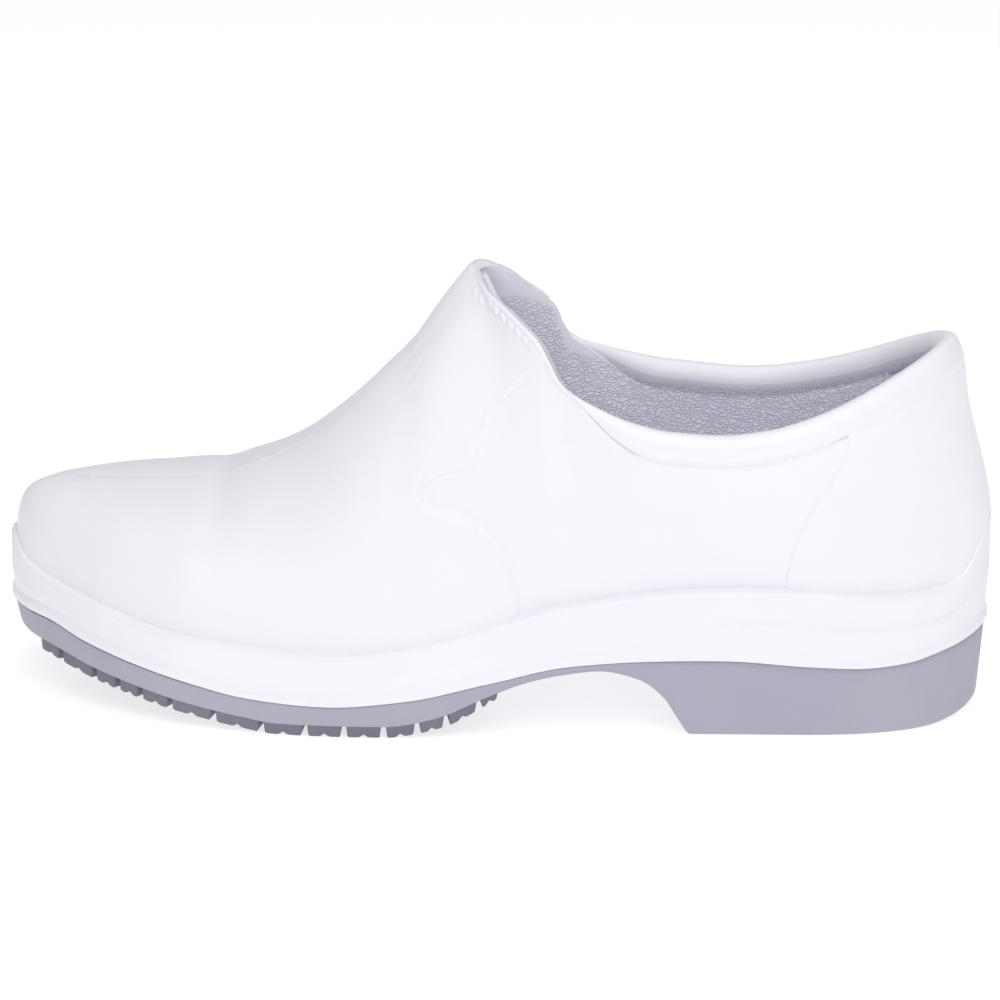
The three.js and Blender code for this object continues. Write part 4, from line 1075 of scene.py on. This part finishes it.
    def build_lining(self) -> bpy.types.Object:
        """Build the inside of the wall and the footbed's edge."""
        roll = self.lines.roll(self.head_loop)
        pad = roll * self.collar_pad * smooth(self.pad_starts, 1, self.up)
        inner = self.base - self.facing * (self.wall + pad)[..., None]
        rim = self.rim_rows()[self.white_rim - 1 :]
        top = np.where(self.collar[:, None], rim[-1], inner[-1])
        keep = np.flatnonzero(np.array([*np.zeros(len(self.rows_low) + self.wall_rows), *self.rows_high]) >= 1.5)
        start = len(self.rows_low) + self.wall_rows
        rows = [*rim[:-1], top, *inner[[k for k in keep[::-1]]], *inner[:start][::-2]]
        along, _ = self.lines.place(self.foot_loop)
        floor = self.floor_height(along)
        for drop in (1.0, 0.7, 0.3, 0.0):
            inset = self.floor_edge + self.floor_fillet * (1 - drop)
            rows.append(self.lines.inside(self.foot_loop, inset + 0 * along, floor + self.floor_fillet * drop ** 2))
        rows.append(self.lines.inside(self.foot_loop, 16 + 0 * along, floor))
        grid = np.stack(rows)
        first = len(rim) - 1
        points, numbers = self.joined(grid, first, slice(0, first + 1))
        open_columns = np.flatnonzero(self.collar)
        over = quads(numbers[: first + 1][:, open_columns], closed=False)
        faces = np.concatenate([over, quads(numbers[first:])])[:, ::-1]
        lining = piece("textured_inside", self.placing.metres(points), faces, PEBBLED_FOAM)
        self.mark_pebbles(lining, grid)
        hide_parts("upper")
        return lining

    def mark_pebbles(self, lining: bpy.types.Object, grid: Array) -> None:
        """Store where the lining is pebbled: below a smooth strip that is wider in the throat."""
        step = np.linalg.norm(np.diff(grid, axis=0), axis=-1)
        depth = np.concatenate([np.zeros((1, grid.shape[1])), np.cumsum(step, 0)])
        roll = self.lines.roll(self.head_loop)
        place, _ = self.lines.place(self.head_loop)
        strip = self.strip_back + (self.strip_ear - self.strip_back) * (1 - roll)
        strip = strip + (self.strip_throat - self.strip_ear) * (1 - smooth(0.49, 0.57, place))
        share = smooth(0, 2.5, depth - strip)
        mark = lining.data.attributes.new("pebble_share", "FLOAT", "POINT")
        mark.data.foreach_set("value", share.reshape(-1).astype(np.float32))

    def build(self) -> None:
        """Build the moulding."""
        self.shell = self.build_shell()
        self.build_lining()


@dataclass
class ThroatStitching:
    """The moulded stitches along the throat's edge, on both sides."""

    shell: bpy.types.Object
    lines: LastLines
    placing: Placing
    pitch: float = 3.4
    length: float = 3.6
    width: float = 2.0
    stands: float = 0.4
    below_edge: float = 3.6
    starts: float = 0.487
    ends: float = 0.566
    slant: float = 22.0

    def run(self, side: Side) -> Array:
        """Places along the throat, a stitch apart."""
        fine = np.linspace(self.starts, self.ends, 400)
        line = self.lines.top(side.loop(fine))
        walked = np.concatenate([[0], np.cumsum(np.linalg.norm(np.diff(line, axis=0), axis=1))])
        return side.loop(np.interp(np.arange(self.pitch / 2, walked[-1], self.pitch), walked, fine))

    def build(self) -> None:
        """Build all the stitches as one piece, half sunk in the wall."""
        tree = BVHTree.FromPolygons(
            [v.co for v in self.shell.data.vertices], [p.vertices for p in self.shell.data.polygons]
        )
        points, faces = [], []
        for side in Side:
            places = self.run(side)
            normal = self.lines.top_normal(places)
            down = self.lines.down_wall(places, normal)
            target = self.placing.metres(self.lines.top(places) + down * self.below_edge)
            run = self.lines.collar_direction(places)
            for k, goal in enumerate(target):
                spot, facing, _, _ = tree.find_nearest(Vector(goal))
                fade = min(1.0, 0.45 + 0.25 * min(k, len(target) - 1 - k))
                self.stitch(points, faces, spot, facing, Vector(run[k]), side, fade)
        made = piece("throat_stitching", np.array(points), np.array(faces), SATIN_FOAM)
        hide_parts("upper")

    def stitch(
        self, points: list, faces: list, spot: Vector, facing: Vector, run: Vector, side: Side, fade: float
    ) -> None:
        """Add one stitch, a slim rounded grain.

        Args:
            points: all the points so far.
            faces: all the faces so far.
            spot: where it lies on the wall.
            facing: the wall's direction there.
            run: the collar's direction there.
            side: the side of the shoe.
            fade: its share of the full height.
        """
        first = len(points)
        ahead = (run - facing * run.dot(facing)).normalized()
        turned = Matrix.Rotation(math.radians(self.slant) * side.value, 3, facing)
        ahead = turned @ ahead
        across = facing.cross(ahead)
        rings, around = 8, 10
        for ring in range(rings + 1):
            lean = math.pi * ring / rings
            for step in range(around):
                angle = 2 * math.pi * step / around
                local = (
                    ahead * (math.cos(lean) * self.length / 2)
                    + across * (math.sin(lean) * math.cos(angle) * self.width / 2)
                    + facing * (math.sin(lean) * math.sin(angle) * self.stands * fade)
                )
                points.append(tuple(spot + local * MM))
        for ring in range(rings):
            for step in range(around):
                low = first + ring * around
                after = (step + 1) % around
                faces.append((low + step, low + after, low + around + after, low + around + step))


@dataclass
class RubberSole:
    """The grey rubber: side wall, waist, heel with grooves, and the tread's lugs."""

    lines: LastLines
    placing: Placing
    inset: float = 0.8
    taper: float = 1.5
    corner: float = 1.0
    toe_spring: float = 14.2
    arch_height: float = 19.0
    lug_depth: float = 3.4
    lug_gap: float = 1.2
    lug_width: float = 13.0
    lug_channel: float = 3.0
    inner_lug: float = 21.0
    chevron: float = 6.0
    notch: float = 0.9
    heel_groove: float = 4.0
    groove_depth: float = 3.0
    heel_rim: float = 11.0
    across_points: int = 64

    def __post_init__(self) -> None:
        """Choose the columns, closer at the waist and at the heel's grooves."""
        half = self.heel_groove / 2 / self.lines.length
        edges = [g + s * half + e for g in HEEL_GROOVES for s in (-1, 1) for e in (-0.0012, 0.0, 0.0012)]
        parts = [along_at(np.linspace(0, 1, 170)), np.linspace(0.5, 0.72, 90), edges]
        self.along = np.unique(np.round(np.concatenate(parts), 5))
        turned = turn_at(self.along)
        self.loop = np.concatenate([turned, 2 - turned[-2:0:-1]])

    def underside(self, along: Array) -> Array:
        """Height of the rubber's underside between the lugs."""
        spring = UNDERSIDE.line("spring", along, (True, False)) * self.toe_spring
        lug = UNDERSIDE.line("lug", along) * self.lug_depth
        return spring + UNDERSIDE.line("arch", along) * self.arch_height + lug

    def tread(self, along: Array) -> Array:
        """Height of the lugs' feet."""
        return self.underside(along) - UNDERSIDE.line("lug", along) * self.lug_depth

    def wall_rows(self) -> Array:
        """The side wall from its lower corner to under the lip."""
        along, _ = self.lines.place(self.loop)
        low = self.underside(along)
        edge = self.lines.edge_height(along)
        under = self.lines.under_height(along)
        slope = (under - edge) / self.lines.joint_slope
        high = edge + slope * self.inset - 0.35
        corner = np.minimum(self.corner + 0.8 * smooth(0.7, 0.8, along), (high - low) * 0.35)
        foot = self.taper + self.inset
        rows = []
        for angle in (0, 22, 45, 68, 90):
            turned = math.radians(angle)
            rows.append((foot + corner * (1 - math.sin(turned)), low + corner * (1 - math.cos(turned))))
        for share in (0.15, 0.35, 0.55, 0.75, 0.9):
            rows.append((foot - self.taper * share + 0 * along, low + corner + (high - low - corner) * share))
        rows += [(self.inset + 0.02 + 0 * along, high - 0.15), (self.inset + 0.15 + 0 * along, high)]
        rows += [(d + 0 * along, edge + slope * d - 0.3) for d in (1.6, 4.0, 7.0)]
        return np.stack([self.lines.inside(self.loop, inset, height) for inset, height in rows])

    def groove(self, along: Array, from_edge: Array) -> Array:
        """How deep the heel's grooves are at places on the underside."""
        half = self.heel_groove / 2 / self.lines.length
        depth = np.zeros(np.broadcast(along, from_edge).shape)
        for middle in HEEL_GROOVES:
            across = 1 - smooth(half - 0.0002, half + 0.0012, np.abs(along - middle))
            depth = np.maximum(depth, across * smooth(self.heel_rim, self.heel_rim + 1.5, from_edge))
        return depth * self.groove_depth

    def build_body(self) -> None:
        """Build the side wall and the underside."""
        wall = self.wall_rows()
        count = len(self.along)
        outer = wall[0][:count]
        inner = np.concatenate([wall[0][:1], wall[0][:count - 2:-1]])
        share = np.linspace(0, 1, self.across_points)[:, None, None]
        bottom = outer[None] * (1 - share) + inner[None] * share
        width = np.linalg.norm(inner - outer, axis=-1)
        from_edge = np.minimum(share[..., 0], 1 - share[..., 0]) * width + self.taper + self.inset + self.corner
        bottom[..., 2] += self.groove(self.along[None], from_edge)
        ring = np.arange(wall.shape[0] * wall.shape[1]).reshape(wall.shape[:2])
        grid = np.arange(bottom.shape[0] * count).reshape(-1, count) + ring.size
        grid[0] = ring[0, :count]
        grid[-1] = np.concatenate([ring[0, :1], ring[0, :count - 2:-1]])
        points = np.concatenate([wall.reshape(-1, 3), bottom.reshape(-1, 3)])
        faces = np.concatenate([quads(ring), quads(grid[:, 1:-1], closed=False)])
        ends = [(grid[j, 0], grid[j, 1], grid[j + 1, 1], grid[j + 1, 1]) for j in range(len(grid) - 1)]
        ends += [(grid[j, -2], grid[j, -1], grid[j + 1, -2], grid[j + 1, -2]) for j in range(len(grid) - 1)]
        ends = [(grid[0, 0], a, b, b) for _, a, b, _ in ends[: len(grid) - 1]]
        ends += [(grid[0, -1], grid[j + 1, -2], grid[j, -2], grid[j, -2]) for j in range(len(grid) - 1)]
        faces = np.concatenate([faces, np.array(ends)])
        body = piece("rubber_body", self.placing.metres(points), faces, RUBBER)
        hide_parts("outsole")

    def lug(self, corners: Array, notched: bool) -> tuple[Array, Array]:
        """Shape one lug from its outline.

        Args:
            corners: outer start, outer end, inner end and inner start, in millimetres.
            notched: whether a notch runs across its foot.

        Returns:
            Its points in millimetres, and its faces.
        """
        long = (np.linalg.norm(corners[1] - corners[0]) + np.linalg.norm(corners[2] - corners[3])) / 2
        wide = (np.linalg.norm(corners[3] - corners[0]) + np.linalg.norm(corners[2] - corners[1])) / 2
        rim = np.array([0, 0.45, 0.85])
        middle = np.linspace(0, 1, 15)[1:-1]
        s = np.concatenate([rim / long, (0.85 + (long - 1.7) * middle) / long, 1 - rim[::-1] / long])
        t = np.concatenate([rim / wide, (0.85 + (wide - 1.7) * np.linspace(0, 1, 6)[1:-1]) / wide, 1 - rim[::-1] / wide])
        s, t = s[:, None], t[None, :]
        flat = (
            corners[0] * ((1 - s) * (1 - t))[..., None] + corners[1] * (s * (1 - t))[..., None]
            + corners[2] * (s * t)[..., None] + corners[3] * ((1 - s) * t)[..., None]
        )
        along = flat[..., 0] / self.lines.length + 0.5
        level = np.full(flat.shape[:2], 3)
        for ring in (2, 1, 0):
            for edge in (level[ring], level[-1 - ring], level[:, ring], level[:, -1 - ring]):
                np.minimum(edge, ring, out=edge)
        lift = np.choose(level, [99.0, 0.5, 0.08, 0.0])
        notch = self.notch * np.exp(-(((s - 0.5) * long) / 0.75) ** 2) * (level > 0) if notched else 0.0
        height = self.tread(along) + lift + notch
        height = np.where(level == 0, self.underside(along) + 0.9, np.minimum(height, self.underside(along) + 0.5))
        points = np.concatenate([flat[..., :2], height[..., None]], -1)
        numbers = np.arange(height.size).reshape(height.shape)
        return points.reshape(-1, 3), quads(numbers, closed=False)

    def across_sole(self, along: float, inset: float, share: float) -> Array:
        """A place on the sole from the outer side (0) to the inner side (1)."""
        outer = self.lines.inside(Side.OUTER.loop(np.array(along)), np.array(inset), np.array(0.0))
        inner = self.lines.inside(Side.INNER.loop(np.array(along)), np.array(inset), np.array(0.0))
        return outer + (inner - outer) * share

    def lug_outlines(self) -> list[tuple[Array, bool]]:
        """Outlines of all the lugs, and whether each is an edge lug."""
        outlines = []
        edge = self.inset + self.taper + 0.45
        gap = self.lug_gap / self.lines.length
        for start, after in zip(LUG_ROWS[:-1], LUG_ROWS[1:]):
            end = after - gap
            for share in (0, 1):
                turned = 1 if share else -1
                corners = np.stack([
                    self.across_sole(start, edge, share), self.across_sole(end, edge, share),
                    self.across_sole(end, edge + self.lug_width, share),
                    self.across_sole(start, edge + self.lug_width, share),
                ])
                outlines.append((corners if turned < 0 else corners[[1, 0, 3, 2]], True))
            inset = edge + self.lug_width + self.lug_channel
            wide = self.across_sole(start, inset, 1)[1] - self.across_sole(start, inset, 0)[1]
            count = max(round(float(wide) / self.inner_lug), 0)
            for k in range(count):
                between = self.lug_channel / wide / 2
                low = k / count + (between if k else 0)
                high = (k + 1) / count - (between if k < count - 1 else 0)
                channel = (self.lug_channel - self.lug_gap) / self.lines.length
                corners = []
                for along, share in ((start, low), (end - channel, low), (end - channel, high), (start, high)):
                    shift = self.chevron / self.lines.length * (1 - abs(2 * share - 1))
                    corners.append(self.across_sole(along - shift, inset, share))
                outlines.append((np.stack(corners), False))
        return outlines

    def build_lugs(self) -> None:
        """Build the tread's lugs as one piece."""
        points, faces, first = [], [], 0
        for corners, notched in self.lug_outlines():
            lug_points, lug_faces = self.lug(corners, notched)
            points.append(lug_points)
            faces.append(lug_faces + first)
            first += len(lug_points)
        # The lugs take the darker copy of the rubber, which paints the shade under the sole.
        made = piece("tread_lugs", self.placing.metres(np.concatenate(points)), np.concatenate(faces)[:, ::-1], SHADED_TREAD_RUBBER)
        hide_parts("outsole")

    def build(self) -> None:
        """Build the sole."""
        self.build_body()
        self.build_lugs()


@dataclass
class LooseInsole:
    """The foam insole with a knitted face that lies on the footbed."""

    lines: LastLines
    placing: Placing
    upper: MouldedUpper
    thickness: float = 4.0
    dish: float = 1.2
    gap: float = 0.3
    columns: int = 150
    across_points: int = 30

    def build(self) -> None:
        """Build the insole."""
        along = along_at(np.linspace(0, 1, self.columns))
        turned = turn_at(along)
        loop = np.concatenate([turned, 2 - turned[-2:0:-1]])
        place, _ = self.lines.place(loop)
        floor = self.upper.floor_height(place) + self.gap
        side = self.upper.floor_edge + 2 * self.gap
        rows = [(2.0, 0.0), (0.6, 0.5), (0.1, 1.4), (0.0, 2.2), (0.0, 3.1), (0.25, 3.65), (0.75, 3.93)]
        rows += [(1.4, 4.0), (2.4, 3.9), (3.8, 3.4), (5.2, 3.0), (6.6, self.thickness - self.dish)]
        ring_points = np.stack([self.lines.inside(loop, side + inset + 0 * place, floor + rise) for inset, rise in rows])
        count = len(along)
        outer = ring_points[-1][:count]
        inner = np.concatenate([ring_points[-1][:1], ring_points[-1][:count - 2:-1]])
        share = np.linspace(0, 1, self.across_points)[:, None, None]
        top = outer[None] * (1 - share) + inner[None] * share
        ring = np.arange(ring_points.shape[0] * ring_points.shape[1]).reshape(ring_points.shape[:2])
        grid = np.arange(top.shape[0] * count).reshape(-1, count) + ring.size
        grid[0] = ring[-1, :count]
        grid[-1] = np.concatenate([ring[-1, :1], ring[-1, :count - 2:-1]])
        points = np.concatenate([ring_points.reshape(-1, 3), top.reshape(-1, 3)])
        ends = [(grid[0, 0], grid[j + 1, 1], grid[j, 1], grid[j, 1]) for j in range(len(grid) - 1)]
        ends += [(grid[0, -1], grid[j, -2], grid[j + 1, -2], grid[j + 1, -2]) for j in range(len(grid) - 1)]
        faces = np.concatenate([quads(ring), quads(grid[:, 1:-1], closed=False)[:, ::-1], np.array(ends)])
        made = piece("insole_pad", self.placing.metres(points), faces, INSOLE_FABRIC)
        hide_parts("insole")


@dataclass(frozen=True)
class Studio:
    """A pale floor, soft lights and the camera."""

    elevation: float = 17.0
    yaw: float = 2.5
    roll: float = 0.8
    distance: float = 1.396
    lens: float = 172.8
    target_height: float = 0.0572
    target_along: float = 0.0005
    floor_size: float = 14.0

    def camera(self, across: float) -> None:
        """Place the camera where the photograph was taken from."""
        lift, turn, tilt = (math.radians(v) for v in (self.elevation, self.yaw, self.roll))
        right = Vector((math.cos(turn), math.sin(turn), 0))
        up = Vector((-math.sin(turn) * math.sin(lift), math.cos(turn) * math.sin(lift), math.cos(lift)))
        back = Vector((math.sin(turn) * math.cos(lift), -math.cos(turn) * math.cos(lift), math.sin(lift)))
        x_axis = right * math.cos(tilt) + up * math.sin(tilt)
        y_axis = up * math.cos(tilt) - right * math.sin(tilt)
        place = Vector((self.target_along, across * MM, self.target_height)) + back * self.distance
        data = bpy.data.cameras.new("view")
        data.lens = self.lens
        data.sensor_width = 36.0
        data.clip_end = 50.0
        made = bpy.data.objects.new("view", data)
        turned = Matrix((x_axis, y_axis, back)).transposed().to_4x4()
        made.matrix_world = Matrix.Translation(place) @ turned
        bpy.context.scene.collection.objects.link(made)
        bpy.context.scene.camera = made

    def floor(self) -> None:
        """Lay a plain pale floor."""
        half = self.floor_size / 2
        mesh = bpy.data.meshes.new("floor")
        corners = [(-half, -half, 0), (half, -half, 0), (half, half, 0), (-half, half, 0)]
        mesh.from_pydata(corners, [], [(0, 1, 2, 3)])
        material = bpy.data.materials.new("pale_floor")
        material.use_nodes = True
        shader = material.node_tree.nodes["Principled BSDF"]
        shader.inputs["Base Color"].default_value = (0.5, 0.5, 0.5, 1)
        shader.inputs["Roughness"].default_value = 0.9
        shader.inputs["Specular IOR Level"].default_value = 0.1
        shader.inputs["Emission Color"].default_value = (1, 1, 1, 1)
        shader.inputs["Emission Strength"].default_value = 0.7
        mesh.materials.append(material)
        made = bpy.data.objects.new("floor", mesh)
        bpy.context.scene.collection.objects.link(made)

    def lamp(self, name: str, place: tuple[float, float, float], size: float, power: float, aim: float = 0.05) -> None:
        """Hang a soft square light that faces the shoe.

        Args:
            name: the light's name.
            place: where it hangs, in metres.
            size: its width in metres.
            power: its power in watts.
            aim: the height that it faces.
        """
        data = bpy.data.lights.new(name, "AREA")
        data.shape = "SQUARE"
        data.size = size
        data.energy = power
        made = bpy.data.objects.new(name, data)
        made.location = place
        away = Vector(place) - Vector((0, 0, aim))
        made.rotation_euler = away.to_track_quat("Z", "Y").to_euler()
        bpy.context.scene.collection.objects.link(made)

    def light(self) -> None:
        """Light the shoe softly from all round, a little more from above and in front."""
        world = bpy.data.worlds.new("studio")
        world.use_nodes = True
        world.node_tree.nodes["Background"].inputs["Color"].default_value = (0.96, 0.96, 1.0, 1)
        world.node_tree.nodes["Background"].inputs["Strength"].default_value = 0.4
        bpy.context.scene.world = world
        self.lamp("overhead", (0.15, -0.9, 1.3), 1.2, 11.0)
        self.lamp("front", (0.35, -1.6, 0.7), 1.0, 1.5)
        self.lamp("top", (0.1, 0.25, 1.3), 1.0, 3.0)
        bpy.context.scene.view_settings.view_transform = "Standard"
        bpy.context.scene.view_settings.look = "None"

    def build(self, across: float) -> None:
        """Set up the camera, the floor and the lights."""
        self.camera(across)
        self.floor()
        self.light()


def main() -> None:
    """Build the shoe and its studio, and note the sizes."""
    logging.basicConfig(level=logging.INFO, format="%(name)s: %(message)s")
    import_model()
    lines = LastLines()
    placing = Placing.over(lines, "upper")
    log.info("the lines lie %.3f mm across", placing.across)
    Studio().build(placing.across)
    upper = MouldedUpper(lines, placing)
    upper.build()
    ThroatStitching(upper.shell, lines, placing).build()
    RubberSole(lines, placing).build()
    LooseInsole(lines, placing, upper).build()


if __name__ == "__main__":
    main()
